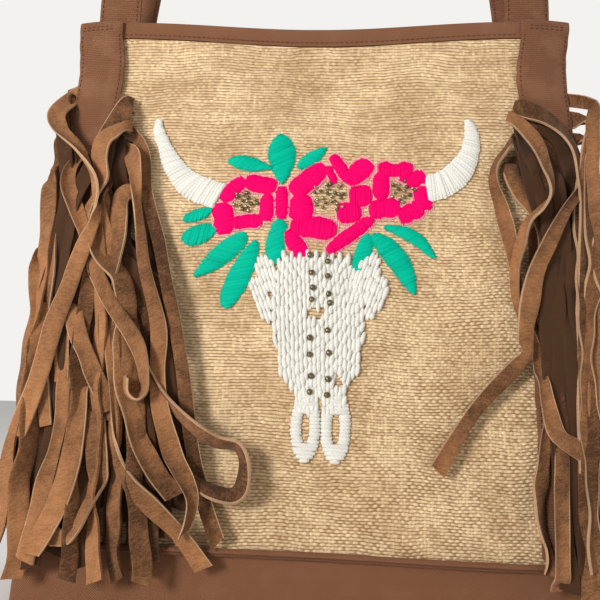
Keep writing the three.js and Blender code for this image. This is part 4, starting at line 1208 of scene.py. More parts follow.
class TOTE_OT_binding(Operator):
    """Folded canvas binding round the mouth, with its seam"""
    bl_idname = "tote.binding"
    bl_label = "Mouth binding"

    def execute(self, context):
        settings = context.scene.tote_cloth
        outer, inner = BINDING_CLOTH, -CLOTH - BINDING_CLOTH
        middle, reach = (outer + inner) / 2, (outer - inner) / 2
        fold = np.linspace(0, np.pi, BINDING_FOLD_ROWS)
        wall = np.linspace(BINDING_HEIGHT, reach + 1, BINDING_WALL_ROWS)
        lifts = np.concatenate([np.full(len(wall), outer), middle + reach * np.cos(fold),
                                np.full(len(wall), inner)])
        drops = np.concatenate([wall, reach * (1 - np.sin(fold)), wall[::-1]])
        at, _ = bag_ring(HEIGHT)
        sag = mouth_sag(at[:, 0])
        rows = [ring_points(HEIGHT - drop, lift, HEIGHT - drop - sag) for lift, drop in zip(lifts, drops)]
        points = np.stack(rows)
        travel = travelled(rows[0])
        cloth = grid(travel[None, :], np.cumsum(np.abs(np.gradient(drops)))[:, None])
        body = Body()
        body.add(points, grid_faces(len(rows), len(at), wrap=True, wrap_rows=True), cloth)
        seam_half = BAND_CENTRE - BAND_WIDTH / 2 - SEAM_END
        first, last = seam_ends(settings, -seam_half, seam_half)
        level = HEIGHT - BINDING_HEIGHT + BINDING_SEAM
        ends = np.column_stack([first, level - mouth_sag(first), last, level - mouth_sag(last)])
        for face in (on_front, on_back):
            laid_threads(body, ends, settings.seam_thread / MM / 2, BINDING_CLOTH - 0.2, 0.45, face=face,
                         finish=1)
        body.piece("canvas_binding", ["canvas", "seam"], "canvas", ["mouth_binding"])
        return {"FINISHED"}


BAND_ROWS = 150
BAND_SHARES = np.array([-1, -0.96, -0.9, -0.6, -0.3, 0, 0.3, 0.6, 0.9, 0.96, 1])
HANDLE_SEWN_ROWS = 16
HANDLE_ARCH_ROWS = 121
HANDLE_SHARES = np.array([-1, -0.95, -0.6, -0.2, 0.2, 0.6, 0.95, 1])
HANDLE_STITCH_STEPS = 5


class TOTE_OT_bands(Operator):
    """Webbing bands up the front and back, sewn along both edges"""
    bl_idname = "tote.bands"
    bl_label = "Webbing bands"

    def execute(self, context):
        settings = context.scene.tote_cloth
        low = BOOT_HEIGHT + 2 * PIPING_RADIUS + GAP
        high = HEIGHT - BAND_TOP_INSET
        z = np.linspace(low, high, BAND_ROWS)[:, None]
        share = BAND_SHARES[None, :]
        thick = BAND_THICK * (1 - 0.35 * smoothstep(np.abs(share), 0.9, 1))
        first, last = seam_ends(settings, low + SEAM_END, high - BAND_SEAM_STOP)
        seam_lift = BAND_LIFT + BAND_THICK - 0.25
        thread = settings.seam_thread / MM / 2
        for face_name, face in (("front", on_front), ("back", on_back)):
            for side_name, side in (("left", -1), ("right", 1)):
                middle = band_middle(side, z)
                fray = 0.25 * np.sin(z / 7 + side) + 0.2 * np.sin(z / 2.3)
                inner_half = BAND_WIDTH / 2 + BAND_INNER_EXTRA * (share * side < 0)
                x = middle + share * (inner_half + fray * (np.abs(share) > 0.95))
                cloth = grid(x - middle, z)
                body = Body()
                body.shell(face(x, z, BAND_LIFT + thick), face(x, z, BAND_LIFT), cloth)
                for edge in (-1, 1):
                    seam_reach = BAND_WIDTH / 2 - SEAM_INSET + BAND_INNER_EXTRA * (edge * side < 0)
                    line = band_middle(side, first) + edge * seam_reach
                    wander = 0.25 * np.sin(first / 31 + edge + side)
                    ends = np.column_stack([line + wander, first, line + wander, last])
                    laid_threads(body, ends, thread, seam_lift, SEAM_RISE, face=face, finish=1)
                top = band_middle(side, high)
                row_half = BAND_WIDTH / 2 - BAND_TOP_SEAM_END
                row_first, row_last = seam_ends(settings, top - row_half, top + row_half)
                for drop in BAND_TOP_SEAMS:
                    level = np.full_like(row_first, high - drop)
                    ends = np.column_stack([row_first, level, row_last, level])
                    laid_threads(body, ends, thread, seam_lift, SEAM_RISE, face=face, finish=1)
                node = "strap_%s_%s" % (face_name, side_name)
                body.piece("webbing_" + node, ["webbing", "seam"], "webbing", [node])
        return {"FINISHED"}


class TOTE_OT_handles(Operator):
    """Webbing handles, sewn flat inside the mouth and standing in an arch"""
    bl_idname = "tote.handles"
    bl_label = "Handles"

    def execute(self, context):
        settings = context.scene.tote_cloth
        clear = CLOTH + BINDING_CLOTH + HANDLE_CLEAR + HANDLE_THICK / 2
        sewn = np.linspace(HEIGHT - HANDLE_SEWN, HEIGHT + HANDLE_LIFT, HANDLE_SEWN_ROWS)[:-1]
        angle = np.linspace(0, np.pi, HANDLE_ARCH_ROWS)
        rise = np.sin(angle)
        arch = np.stack([HANDLE_CENTRE * np.cos(angle), half_depth(HEIGHT) - clear + HANDLE_SPREAD * rise,
                         HEIGHT + HANDLE_LIFT + HANDLE_RISE * rise], axis=-1)
        leg = grid(HANDLE_CENTRE, half_depth(np.minimum(sewn, HEIGHT)) - clear, sewn)
        middle = np.concatenate([leg, arch, leg[::-1] * (-1, 1, 1)])
        rise = np.concatenate([np.zeros(len(leg)), rise, np.zeros(len(leg))])
        along = unit(np.gradient(middle, axis=0) * (1, 0, 1))
        turn = (np.pi / 2 * smoothstep(rise, 0.1, 0.85))[:, None]
        wide = np.stack([along[:, 2], np.zeros(len(along)), -along[:, 0]], axis=-1) * np.cos(turn)
        wide = wide + np.array([0, 1, 0]) * np.sin(turn)
        thin = unit(np.cross(along, wide))
        cup = (1 - smoothstep(rise, 0, 0.3))[:, None]
        travel = travelled(middle)
        thread = settings.seam_thread / MM / 2

        def place(w, t):
            w = np.asarray(w)[..., None]
            points = middle[:, None] + wide[:, None] * w + thin[:, None] * np.asarray(t)[..., None]
            outward = np.abs(middle[:, :1]) + np.sign(middle[:, :1]) * wide[:, :1] * w[..., 0]
            points[:, :, 1] -= cup * corner_tuck(outward)
            return points

        for name, face in (("handle_front", -1), ("handle_back", 1)):
            w = HANDLE_SHARES * BAND_WIDTH / 2
            skin = HANDLE_THICK / 2 * (1 - 0.3 * smoothstep(np.abs(HANDLE_SHARES), 0.9, 1))
            mirror = np.array([1, face, 1])
            cloth = grid(w[None, :], travel[:, None])
            body = Body()
            body.shell(place(w, skin) * mirror, place(w, -skin) * mirror, cloth)
            first, last = seam_ends(settings, travel[0] + 2 * SEAM_END, travel[-1] - 2 * SEAM_END)
            steps = np.linspace(0, 1, HANDLE_STITCH_STEPS)
            spots = first[:, None] + (last - first)[:, None] * steps
            bow = np.sqrt(np.sin(np.pi * steps))
            for edge in (-1, 1):
                for t in (-1, 1):
                    across = edge * (BAND_WIDTH / 2 - SEAM_INSET)
                    line = place([across], [t * HANDLE_THICK / 2])[:, 0] * mirror
                    facing = t * thin * mirror
                    sampled = [np.interp(spots, travel, line[:, axis]) for axis in range(3)]
                    out = [np.interp(spots, travel, facing[:, axis]) for axis in range(3)]
                    out = unit(np.stack(out, axis=-1))
                    paths = np.stack(sampled, axis=-1) + out * (0.3 * bow - 0.1)[:, None]
                    radii = np.tile(thread * (0.5 + 0.5 * bow), (len(first), 1))
                    body.tubes(paths, radii, out, 6, 0.8, finish=1)
            body.piece("webbing_" + name, ["webbing", "seam"], "webbing", [name])
        return {"FINISHED"}


# Suede fringe: rows along a strip, places across it, its backing and how its width varies
STRIP_ROWS = 72
LOOSE_ROWS = 110
STRIP_SHARES = np.array([-1, -0.9, -0.6, -0.2, 0.2, 0.6, 0.9, 1])
BACKING_ROWS = 40
BACKING_COLUMNS = 6
BACKING_INSET = 1
BACKING_HALF = 0.8
WIDTH_LEAST = 0.84
WIDTH_MOST = 1.14
LOOSE_LEAST = 0.66
LOOSE_MOST = 1.2
TURN_BLUR = 6
CLOTH_OFFSET = 400
Ribbon = namedtuple("Ribbon", "middle wide half run tone pale under phase offset")

# Settling: the strips' heights are kept in square cells of the front, and a strip is lifted clear of them
SETTLE_CELL = 2.5
SETTLE_CELLS = 360
SETTLE_SHARES = np.linspace(-0.9, 0.9, 7)
SETTLE_GAP = 0.8
SETTLE_MOST = 7.5
SETTLE_WINDOW = 4
SETTLE_BLUR = 8
SETTLE_START = 0.03
SETTLE_FULL = 0.12


def smooth_route(points, count):
    """Points evenly spaced on a smooth curve through the given ones; columns after x, y and z go along."""
    points = np.vstack([2 * points[0] - points[1], points, 2 * points[-1] - points[-2]])
    knots = np.concatenate([[0], np.cumsum(np.linalg.norm(np.diff(points[:, :3], axis=0), axis=1) ** 0.5)])

    def between(i, j, t, first, second):
        return ((knots[j] - t) * first + (t - knots[i]) * second) / (knots[j] - knots[i])

    fine = []
    for i in range(1, len(points) - 2):
        t = np.linspace(knots[i], knots[i + 1], 20)[:, None]
        pairs = [between(k, k + 1, t, points[k], points[k + 1]) for k in (i - 1, i, i + 1)]
        threes = [between(i - 1, i + 1, t, pairs[0], pairs[1]), between(i, i + 2, t, pairs[1], pairs[2])]
        fine.append(between(i, i + 1, t, threes[0], threes[1]))
    fine = np.vstack(fine)
    travel = travelled(fine[:, :3])
    spots = np.linspace(0, travel[-1], count)
    return np.stack([np.interp(spots, travel, column) for column in fine.T], axis=-1), travel[-1]


def strip_route(strip, side, width):
    """The points that one strip passes: out of the seam, round its loop and down."""
    half, middle = BAND_WIDTH / 2, side * BAND_CENTRE
    layer = LAYER_FIRST + LAYER_STEP * strip.layer
    seam = band_middle(side, strip.root)

    def out(reach):
        return seam + strip.edge * (half + reach)

    points = [
        on_front(out(-ROOT_HIDDEN), strip.root, ROOT_LIFT),
        on_front(out(CLOTH), strip.root, ROOT_LIFT + GAP),
        on_front(out(strip.reach), strip.root - 0.4 * strip.reach, ROOT_LIFT + layer / 2),
    ]
    under_loop = strip.root - 1.2 * strip.reach - width
    if under_loop - LOOP_ROOM > strip.root - strip.drop / 4:
        points.append(on_front(out(0.7 * strip.reach), under_loop, layer))
    for quarter, offset in enumerate((strip.a, strip.b, strip.c, strip.d), start=1):
        z = strip.root - strip.drop * quarter / 4
        over_piping = PIPING_ROOM * (1 - smoothstep(z, BOOT_HEIGHT / 2, 2.5 * BOOT_HEIGHT))
        points.append(on_front(middle + offset, z, layer + over_piping))
    return np.array(points)


def under_strips(under, side, chance):
    """Straight strips close to the cloth that fill in behind the others; their dark tone is painted shade in
    the gaps.
    """
    strips = []
    for i in range(under.count):
        place = under.first + (under.last - under.first) * i / (under.count - 1)
        edge = -1 if place < 0 else 1
        shift = chance.uniform(-UNDER_ROOT_SHIFT, UNDER_ROOT_SHIFT)
        root = under.top - UNDER_ROOTS * i / under.count + shift
        fan = place * UNDER_FAN + chance.uniform(-UNDER_DRIFT, UNDER_DRIFT, 4)
        on_band = abs(place) < BAND_WIDTH / 2 + UNDER_BAND_MARGIN
        layer = UNDER_BAND_LAYER if on_band else UNDER_CLOTH_LAYER
        drop = root - chance.uniform(UNDER_END_LOW, UNDER_END_HIGH)
        twist = chance.uniform(-UNDER_TWIST, UNDER_TWIST)
        strips.append(Strip(edge, root, UNDER_REACH, drop, *fan, layer, twist))
    return strips


def blurred(values, reach):
    """Values along a strip, smoothed over so many rows each way."""
    weights = np.exp(-(np.arange(-reach, reach + 1) / (reach / 2)) ** 2)
    return np.convolve(np.pad(values, reach, mode="edge"), weights / weights.sum(), mode="valid")


def strip_turn(strip, middle, half, run, chance):
    """How far a strip turns about its length: on edge where it bends, and never into the cloth."""
    share = np.linspace(0, 1, len(middle))
    heading = np.unwrap(np.arctan2(np.gradient(middle[:, 0]), -np.gradient(middle[:, 2])))
    bend = blurred(np.abs(np.gradient(heading)) * len(middle) / run, TURN_BLUR)
    standing = EDGE_ON * np.tanh(BEND_REACH * bend)
    phase = chance.uniform(0, FULL_TURN, 2)
    sway = np.sin(SWAYS * share + phase[0]) + 0.6 * np.sin(2.7 * SWAYS * share + phase[1])
    hanging = smoothstep(share, LOOP_PLACE, 2 * LOOP_PLACE)
    lean = 0 if strip.layer < 0 else math.radians(TURN_BIAS)
    turn = math.copysign(1, strip.twist) * (standing + lean * hanging)
    turn = turn + TWIST_MORE * math.radians(strip.twist) * hanging * sway
    lift = on_front(middle[:, 0], middle[:, 2])[:, 1] - middle[:, 1]
    limit = np.arcsin(np.clip((lift - ROOT_LIFT) / half, 0, 1))
    return np.clip(turn, -limit, limit)


def settle(ribbons, clear):
    """Lifts each strip, from the lowest up, where it would cut through one that lies under it."""
    top = np.full((SETTLE_CELLS, SETTLE_CELLS), -np.inf)

    def spread(ribbon):
        reach = ribbon.half[:, None, None] * ribbon.wide[:, None]
        spots = ribbon.middle[:, None] + reach * SETTLE_SHARES[:, None]
        lift = on_front(spots[..., 0], spots[..., 2])[..., 1] - spots[..., 1]
        cells = (spots[..., [0, 2]] / SETTLE_CELL).astype(int) + SETTLE_CELLS // 2
        return lift, (cells[..., 0], cells[..., 1])

    for ribbon in sorted(ribbons, key=lambda each: spread(each)[0].mean()):
        lift, cells = spread(ribbon)
        short = top[cells] + clear - lift
        short = np.where((short > 0) & (short < SETTLE_MOST), short, 0).max(axis=1)
        padded = np.pad(short, SETTLE_WINDOW, mode="edge")
        windows = np.lib.stride_tricks.sliding_window_view(padded, 2 * SETTLE_WINDOW + 1)
        short = blurred(windows.max(axis=1), SETTLE_BLUR)
        free = smoothstep(np.linspace(0, 1, len(short)), SETTLE_START, SETTLE_FULL)
        ribbon.middle[:, 1] -= short * free
        lift, cells = spread(ribbon)
        np.maximum.at(top, cells, lift)


def add_ribbon(body, ribbon, settings):
    """One suede strip with pale cut edges along its middle line; half is its half width in mm."""
    middle, wide, half, run, tone, pale, under, phase, offset = ribbon
    share = np.linspace(0, 1, len(middle))
    along = unit(np.gradient(middle, axis=0))
    thin = unit(np.cross(wide, along))
    waver = 1 + 0.06 * np.sin(run / 26 * share + phase[0]) + 0.04 * np.sin(run / 9 * share + phase[1])
    reach = (half * waver)[:, None] * STRIP_SHARES
    curve = (0.4 + np.sin(7 * share + phase[2])) * (UNDER_CALMER if under else 1)
    cup = settings.cup / MM * curve[:, None] * (STRIP_SHARES ** 2 - 0.35)
    skin = settings.strip_thickness / MM / 2 * (1 - 0.28 * smoothstep(np.abs(STRIP_SHARES), 0.88, 1))
    bias = 0.25 * np.sign(phase[3] - 3) * reach * smoothstep(share, 0.94, 1)[:, None]
    base = middle[:, None] + wide[:, None] * reach[..., None] + along[:, None] * bias[..., None]
    outer = base + thin[:, None] * (cup + skin)[..., None]
    inner = base + thin[:, None] * (cup - skin)[..., None]
    cloth = grid(reach + offset[0], share[:, None] * run + offset[1])
    tones = np.repeat(tone + 0.12 * np.sin(run / 22 * share + phase[3]), 2 * len(STRIP_SHARES))
    body.shell(outer, inner, cloth, tone=tones, finish=0, rim=0 if under else 1, pale=pale)


def table_ribbon(strip, side, settings, chance):
    """One strip of the table."""
    width = settings.strip_width / MM * chance.uniform(WIDTH_LEAST, WIDTH_MOST)
    middle, run = smooth_route(strip_route(strip, side, width), STRIP_ROWS)
    share = np.linspace(0, 1, STRIP_ROWS)
    phase = chance.uniform(0, FULL_TURN, 3)
    under = strip.layer < 0
    hanging = smoothstep(share, LOOP_PLACE, 3 * LOOP_PLACE) * (UNDER_CALMER if under else 1)
    sway = 1.1 * np.sin(run / 11 * share + phase[0]) + 0.6 * np.sin(run / 5 * share + phase[1])
    middle[:, 0] += hanging * sway
    middle[:, 1] -= hanging * (0.6 + 0.6 * np.sin(run / 9 * share + phase[2]))
    along = unit(np.gradient(middle, axis=0))
    wide = unit(np.cross(along, (0, -1, 0)))
    turn = strip_turn(strip, middle, width / 2, run, chance)[:, None]
    wide = wide * np.cos(turn) + np.cross(along, wide) * np.sin(turn)
    # Lower layers, the right side and the strips underneath are darkened as painted shade
    tone = TONE_LEAST + PAINTED_SHADE_LAYER_STEP * max(0, strip.layer) + chance.uniform(0, TONE_CHANCE)
    tone -= RIGHT_PAINTED_SHADE * (side > 0) + UNDER_PAINTED_SHADE * under
    pale = -int(math.copysign(1, strip.twist))
    return Ribbon(middle, wide, np.full(STRIP_ROWS, width / 2), run, tone, pale, strip.layer < 1,
                  chance.uniform(0, FULL_TURN, 4), chance.uniform(0, CLOTH_OFFSET, 2))


def loose_ribbon(loose, settings, chance):
    """One strip with a way of its own."""
    rows = np.array(loose.rows, float)
    first, second = on_front(*rows[:, :3].T), on_front(*rows[:, 3:].T)
    route, run = smooth_route(np.hstack([(first + second) / 2, (first - second) / 2]), LOOSE_ROWS)
    middle, across = route[:, :3], route[:, 3:]
    usual = settings.strip_width / MM / 2
    half = np.clip(np.linalg.norm(across, axis=1), LOOSE_LEAST * usual, LOOSE_MOST * usual)
    return Ribbon(middle, unit(across), half, run, loose.tone, loose.pale, loose.tone < DARK_LOOSE,
                  chance.uniform(0, FULL_TURN, 4), chance.uniform(0, CLOTH_OFFSET, 2))


class TOTE_OT_fringe(Operator):
    """Suede strips down both front bands, fused to the backing under each band"""
    bl_idname = "tote.fringe"
    bl_label = "Suede fringe"

    def execute(self, context):
        settings = context.scene.tote_fringe
        for name, strips, loose, under, side in (("fringe_left", FRINGE_LEFT, LOOSE_LEFT, UNDER_LEFT, -1),
                                                 ("fringe_right", FRINGE_RIGHT, LOOSE_RIGHT, UNDER_RIGHT, 1)):
            chance = np.random.default_rng(settings.seed + side)
            body = Body()
            z = np.linspace(FRINGE_BOTTOM, FRINGE_TOP, BACKING_ROWS)[:, None]
            share = np.linspace(-1, 1, BACKING_COLUMNS)[None, :]
            x = band_middle(side, z) + share * (BAND_WIDTH / 2 - BACKING_INSET)
            body.shell(on_front(x, z, ROOT_LIFT + BACKING_HALF), on_front(x, z, ROOT_LIFT - BACKING_HALF),
                       grid(x, z))
            ribbons = [table_ribbon(strip, side, settings, chance)
                       for strip in list(strips) + under_strips(under, side, chance)]
            ribbons += [loose_ribbon(strip, settings, chance) for strip in loose]
            settle(ribbons, settings.strip_thickness / MM + SETTLE_GAP)
            for ribbon in ribbons:
                add_ribbon(body, ribbon, settings)
            piece = body.piece("suede_" + name, ["suede", "suede_edge"], "suede", [name])
            area = (FRINGE_TOP - FRINGE_BOTTOM) * (BAND_WIDTH - 2 * BACKING_INSET)
            area += sum(2 * each.run * each.half.mean() for each in ribbons)
            "webbing_strap_front_" + name.split("_")[1]
        return {"FINISHED"}


# Thread work
def leaf_half_width(leaf, share):
    """Half the width of a leaf from its root at 0 to its tip at 1."""
    power = math.log(0.5) / math.log(leaf.widest)
    return leaf.width / 2 * np.sin(np.pi * np.clip(share, 0, 1) ** power) ** leaf.blunt


def leaf_place(leaf, along, across):
    """Front coordinates of a place on a leaf."""
    angle = math.radians(leaf.angle)
    share = along / leaf.length
    across = across + leaf.bend * np.sin(np.pi * share)
    x = leaf.x + along * math.cos(angle) - across * math.sin(angle)
    return x, leaf.z + along * math.sin(angle) + across * math.cos(angle)


LEAF_STITCH_ANGLE = 28
LEAF_SLANT_LIMIT = 35


def leaf_stitches(leaf, pitch):
    """Slanted satin stitches of a leaf: the two places on it where each meets its outline."""
    turn = (LEAF_STITCH_ANGLE - leaf.angle) % 180 - 90
    slant = -math.tan(math.radians(max(-LEAF_SLANT_LIMIT, min(LEAF_SLANT_LIMIT, turn))))
    across = np.linspace(-leaf.width / 2, leaf.width / 2, 121)
    margin = abs(slant) * leaf.width / 2
    centres = np.arange(-margin, leaf.length + margin, pitch)
    along = centres[:, None] + slant * across
    inside = leaf_half_width(leaf, along / leaf.length) > np.abs(across)
    kept = inside.sum(axis=1) > 6
    inside, centres = inside[kept], centres[kept]
    first, last = across[inside.argmax(axis=1)], across[::-1][inside[:, ::-1].argmax(axis=1)]
    return (centres + slant * first, first), (centres + slant * last, last)


class TOTE_OT_leaves(Operator):
    """Green leaves in slanted satin stitch"""
    bl_idname = "tote.leaves"
    bl_label = "Leaves"

    def execute(self, context):
        settings = context.scene.tote_threads
        floss = settings.floss / MM
        chance = np.random.default_rng(settings.seed)
        for number, leaf in enumerate(LEAVES, start=1):
            low, high = leaf_stitches(leaf, floss * 0.75)
            count = len(low[0])
            ragged = chance.uniform(-0.4, 0.5, (2, count))
            ends = np.column_stack([*leaf_place(leaf, low[0], low[1] - ragged[0]),
                                    *leaf_place(leaf, high[0], high[1] + ragged[1])])
            body = Body()
            radius = floss / 2 * chance.uniform(0.8, 1.2, count)
            lift = 0.3 + chance.uniform(0, 0.45, count)
            laid_threads(body, ends, radius, lift, 1.0, taper=0.4, tone=chance.uniform(0, 1, count))
            name = "leaf_%02d" % number
            body.piece("floss_" + name, ["green_floss"], "green_floss", [name])
        return {"FINISHED"}


def petal_threads(flower, petal, pitch, chance):
    """Ends of the satin stitches of one petal."""
    count = max(6, int(petal.length / pitch))
    share = np.linspace(-1, 1, count + 2)[1:-1]
    half = petal.width / 2 * (1 - np.abs(share) ** 3.6) ** 0.46
    angle = math.radians(petal.angle)
    along = np.array([math.cos(angle), math.sin(angle)])
    across = np.array([-along[1], along[0]])
    middle = np.array([petal.x, petal.z])
    if across @ (middle - (flower.x, flower.z)) < 0:
        across = -across
    notch = petal.notch * np.exp(-(share / 0.3) ** 2)
    line = middle + np.outer(share * petal.length / 2, along)
    ragged = chance.uniform(-0.7, 0.6, (2, count))
    inner, outer = half + ragged[0], half - notch + ragged[1]
    return np.hstack([line - np.outer(inner, across), line + np.outer(outer, across)])


PETAL_GROUND = 3.4


class TOTE_OT_flowers(Operator):
    """Pink flowers in satin stitch on a pale ground"""
    bl_idname = "tote.flowers"
    bl_label = "Flowers"

    def execute(self, context):
        settings = context.scene.tote_threads
        floss = settings.floss / MM
        for name, flower in FLOWERS.items():
            chance = np.random.default_rng(settings.seed + len(name))
            body = Body()
            for petal in flower.petals:
                ground = petal._replace(length=petal.length + PETAL_GROUND, width=petal.width + PETAL_GROUND)
                ends = petal_threads(flower, ground, floss, chance)
                tone = chance.uniform(0, 1, len(ends))
                laid_threads(body, ends, floss * 0.45, 0.1, 0.3, tone=tone, finish=1)
                ends = petal_threads(flower, petal, floss * 0.72, chance)
                lift = 0.3 + chance.uniform(0, 0.5, len(ends))
                tone = chance.uniform(0, 1, len(ends))
                laid_threads(body, ends, floss / 2, lift, 1.0, taper=0.4, tone=tone)
                outline = np.concatenate([ends[:, :2], ends[::-1, 2:]])
                outline = (np.roll(outline, 1, axis=0) + outline + np.roll(outline, -1, axis=0)) / 3
                edge = np.hstack([outline, np.roll(outline, -1, axis=0)])
                laid_threads(body, edge, floss * 0.28, 0.75, 0.1, steps=3, taper=0, finish=1)
            body.piece("floss_" + name, ["pink_floss", "pale_floss"], "pink_floss", [name])
        return {"FINISHED"}


def on_bare_patch(x, z):
    """Whether a place lies on a patch of the face that is left bare."""
    return np.any([((x - patch.x) / patch.half_x) ** 2 + ((z - patch.z) / patch.half_z) ** 2 < 1
                   for patch in BARE_PATCHES], axis=0)


FACE_LEVELS = [row.z for row in sorted(SKULL_FACE)]


def face_middle(z):
    """Middle of the face at a height."""
    return np.interp(z, FACE_LEVELS, [row.x for row in sorted(SKULL_FACE)])


def face_half(z):
    """Half the face's width at a height."""
    return np.interp(z, FACE_LEVELS, [row.half for row in sorted(SKULL_FACE)])


def ground_stitches(settings):
    """Short level threads that cover the jute behind the face."""
    yarn = settings.yarn / MM
    ends = []
    for z in np.arange(FACE_LEVELS[0] + yarn, FACE_LEVELS[-1] - yarn * 1.5, yarn * 0.66):
        reach = face_half(z) - yarn
        edges = face_middle(z) + np.linspace(-reach, reach, 13)
        clear = ~on_bare_patch((edges[:-1] + edges[1:]) / 2, z)
        ends += [(x0, z, x1, z) for x0, x1, shown in zip(edges[:-1], edges[1:], clear) if shown]
    return ends


def face_stitches(settings, chance):
    """Upright brick stitches over the skull's face."""
    yarn, stitch = settings.yarn / MM, settings.yarn_stitch / MM
    lowest, highest = FACE_LEVELS[0], FACE_LEVELS[-1]
    widest = max(row.half for row in SKULL_FACE)
    pitch = yarn * 0.92
    columns = int(widest / pitch)
    ends = []
    for column in range(-columns, columns + 1):
        level = highest + chance.uniform(-1.2, 1.2) - (column % 2) * stitch / 2
        while level > lowest - 2:
            tall = stitch * chance.uniform(0.85, 1.15)
            centre = level - tall / 2
            half = face_half(centre)
            across = column * pitch * (0.72 + 0.28 * half / widest)
            x = face_middle(centre) + across
            inside = abs(across) < half - yarn * 0.3
            if inside and not on_bare_patch(x, centre):
                tilt = 0.10 * tall * (column / columns) + chance.uniform(-0.5, 0.5)
                ends.append((x + tilt, level, x - tilt, level - tall))
            level -= tall * 0.94
    return ends


def ear_stitches(settings, ear, chance):
    """Staggered stitches along one ear."""
    yarn, stitch = settings.yarn / MM, settings.yarn_stitch / MM
    shares = np.linspace(0.02, 0.98, 60)
    halves = leaf_half_width(ear, shares)
    ends = []
    for number, across in enumerate(np.arange(-ear.width / 2 + yarn * 0.35, ear.width / 2, yarn * 0.8)):
        inside = shares[halves > abs(across)] * ear.length
        if len(inside) == 0:
            continue
        low, high = inside[0] - 1, inside[-1] + 0.5
        at = low - (number % 2) * stitch / 2
        while at < high:
            tall = stitch * chance.uniform(1.0, 1.4)
            first, last = max(at, low), min(at + tall, high)
            if last - first > yarn:
                ends.append((*leaf_place(ear, first, across), *leaf_place(ear, last, across)))
            at += tall * 0.92
    return ends


def muzzle_stitches(settings, side, chance):
    """Level satin stitches of one muzzle loop, split where its slot is."""
    yarn = settings.yarn / MM
    ends = []
    middle = MUZZLE_X + side * MUZZLE_OFFSET
    for z in np.arange(-MUZZLE_HALF_HEIGHT + yarn / 2, MUZZLE_HALF_HEIGHT, yarn * 0.74):
        reach = MUZZLE_HALF_WIDTH * max(0.05, 1 - abs(z / MUZZLE_HALF_HEIGHT) ** 2.4) ** 0.5
        reach = reach - yarn * 0.3 + chance.uniform(-0.3, 0.3)
        tilt = chance.uniform(-0.3, 0.3)
        level = MUZZLE_Z + z
        if abs(z) > MUZZLE_SLOT_HALF_HEIGHT:
            ends.append((middle - reach, level - tilt, middle + reach, level + tilt))
            continue
        slot = MUZZLE_SLOT_HALF_WIDTH * (1 - abs(z / (MUZZLE_SLOT_HALF_HEIGHT + 1)) ** 2.2) ** 0.5
        ends.append((middle - reach, level - tilt, middle - slot - yarn * 0.3, level + tilt))
        ends.append((middle + slot + yarn * 0.3, level + tilt, middle + reach, level - tilt))
    return ends


HORN_STITCHES = 36
HORN_LEAN = 0.16


class TOTE_OT_skull(Operator):
    """White skull in wool yarn: brick stitches, ears, muzzle loops and wrapped horns"""
    bl_idname = "tote.skull"
    bl_label = "Skull and horns"

    def execute(self, context):
        settings = context.scene.tote_threads
        yarn = settings.yarn / MM
        chance = np.random.default_rng(settings.seed)
        body = Body()
        # The ground threads take the lowest tone: painted shade between the stitches over them
        laid_threads(body, ground_stitches(settings), yarn * 0.4, 0.1, 0.25, steps=5, taper=0.2, tone=0)
        ends = face_stitches(settings, chance)
        for ear in SKULL_EARS:
            ends += ear_stitches(settings, ear, chance)
        radius = yarn / 2 * chance.uniform(0.84, 1.14, len(ends))
        lift = 0.2 + chance.uniform(0, 0.5, len(ends))
        tone = chance.uniform(0, 1, len(ends))
        laid_threads(body, ends, radius, lift, 1.1, steps=8, sides=8, taper=0.5, tone=tone)
        ends = muzzle_stitches(settings, -1, chance) + muzzle_stitches(settings, 1, chance)
        lift = 0.3 + chance.uniform(0, 0.5, len(ends))
        tone = chance.uniform(0, 1, len(ends))
        laid_threads(body, ends, yarn * 0.44, lift, 1.0, steps=8, sides=8, taper=0.2, tone=tone)
        body.piece("yarn_skull", ["white_yarn"], "white_yarn", ["skull"])
        for name, rows in HORNS.items():
            table = np.array(rows, float)
            middle, _ = smooth_route(grid(table[:, 0], 0, table[:, 1]), HORN_STITCHES)
            x, z = middle[:, 0], middle[:, 2]
            travel = travelled(table[:, :2])
            wide = np.interp(np.linspace(0, travel[-1], len(x)), travel, table[:, 2])
            along = unit(np.column_stack([np.gradient(x), np.gradient(z)]))
            across = np.column_stack([-along[:, 1], along[:, 0]]) + HORN_LEAN * along
            half = (wide / 2 + chance.uniform(-0.3, 0.4, len(wide)))[:, None]
            place = np.column_stack([x, z])
            ends = np.hstack([place - across * half, place + across * half])
            body = Body()
            radius = yarn * chance.uniform(0.48, 0.58, len(ends))
            lift = 0.25 + chance.uniform(0, 0.7, len(ends))
            tone = chance.uniform(0, 1, len(ends))
            laid_threads(body, ends, radius, lift, 0.9, steps=9, sides=8, taper=0.25, tone=tone)
            body.piece("yarn_" + name, ["white_yarn"], "white_yarn", [name])
        return {"FINISHED"}


BEAD_AROUND = 14
BEAD_ARC = 9
BEAD_HOLE_ANGLE = 0.42


def add_bead(body, centre, radius, axis, finish):
    """A drilled round bead: an outer arc joined through its hole."""
    polar = np.linspace(BEAD_HOLE_ANGLE, np.pi - BEAD_HOLE_ANGLE, BEAD_ARC)
    hole = math.sin(BEAD_HOLE_ANGLE)
    reach = radius * np.concatenate([np.sin(polar), np.full(3, hole * 0.9)])
    rise = radius * np.concatenate([np.cos(polar), np.linspace(-0.8, 0.8, 3)])
    axis = unit(np.array(axis))
    side = unit(np.cross(axis, (0.3, -1, 0.2)))
    other = np.cross(axis, side)
    angle = 2 * np.pi * np.arange(BEAD_AROUND) / BEAD_AROUND
    ring = np.cos(angle)[:, None] * side + np.sin(angle)[:, None] * other
    points = centre + ring[:, None] * reach[None, :, None] + axis * rise[None, :, None]
    cloth = grid(angle[:, None] * radius + centre[0], rise[None, :] + centre[2])
    body.add(points, grid_faces(BEAD_AROUND, len(reach), wrap=True, wrap_rows=True), cloth, finish=finish)


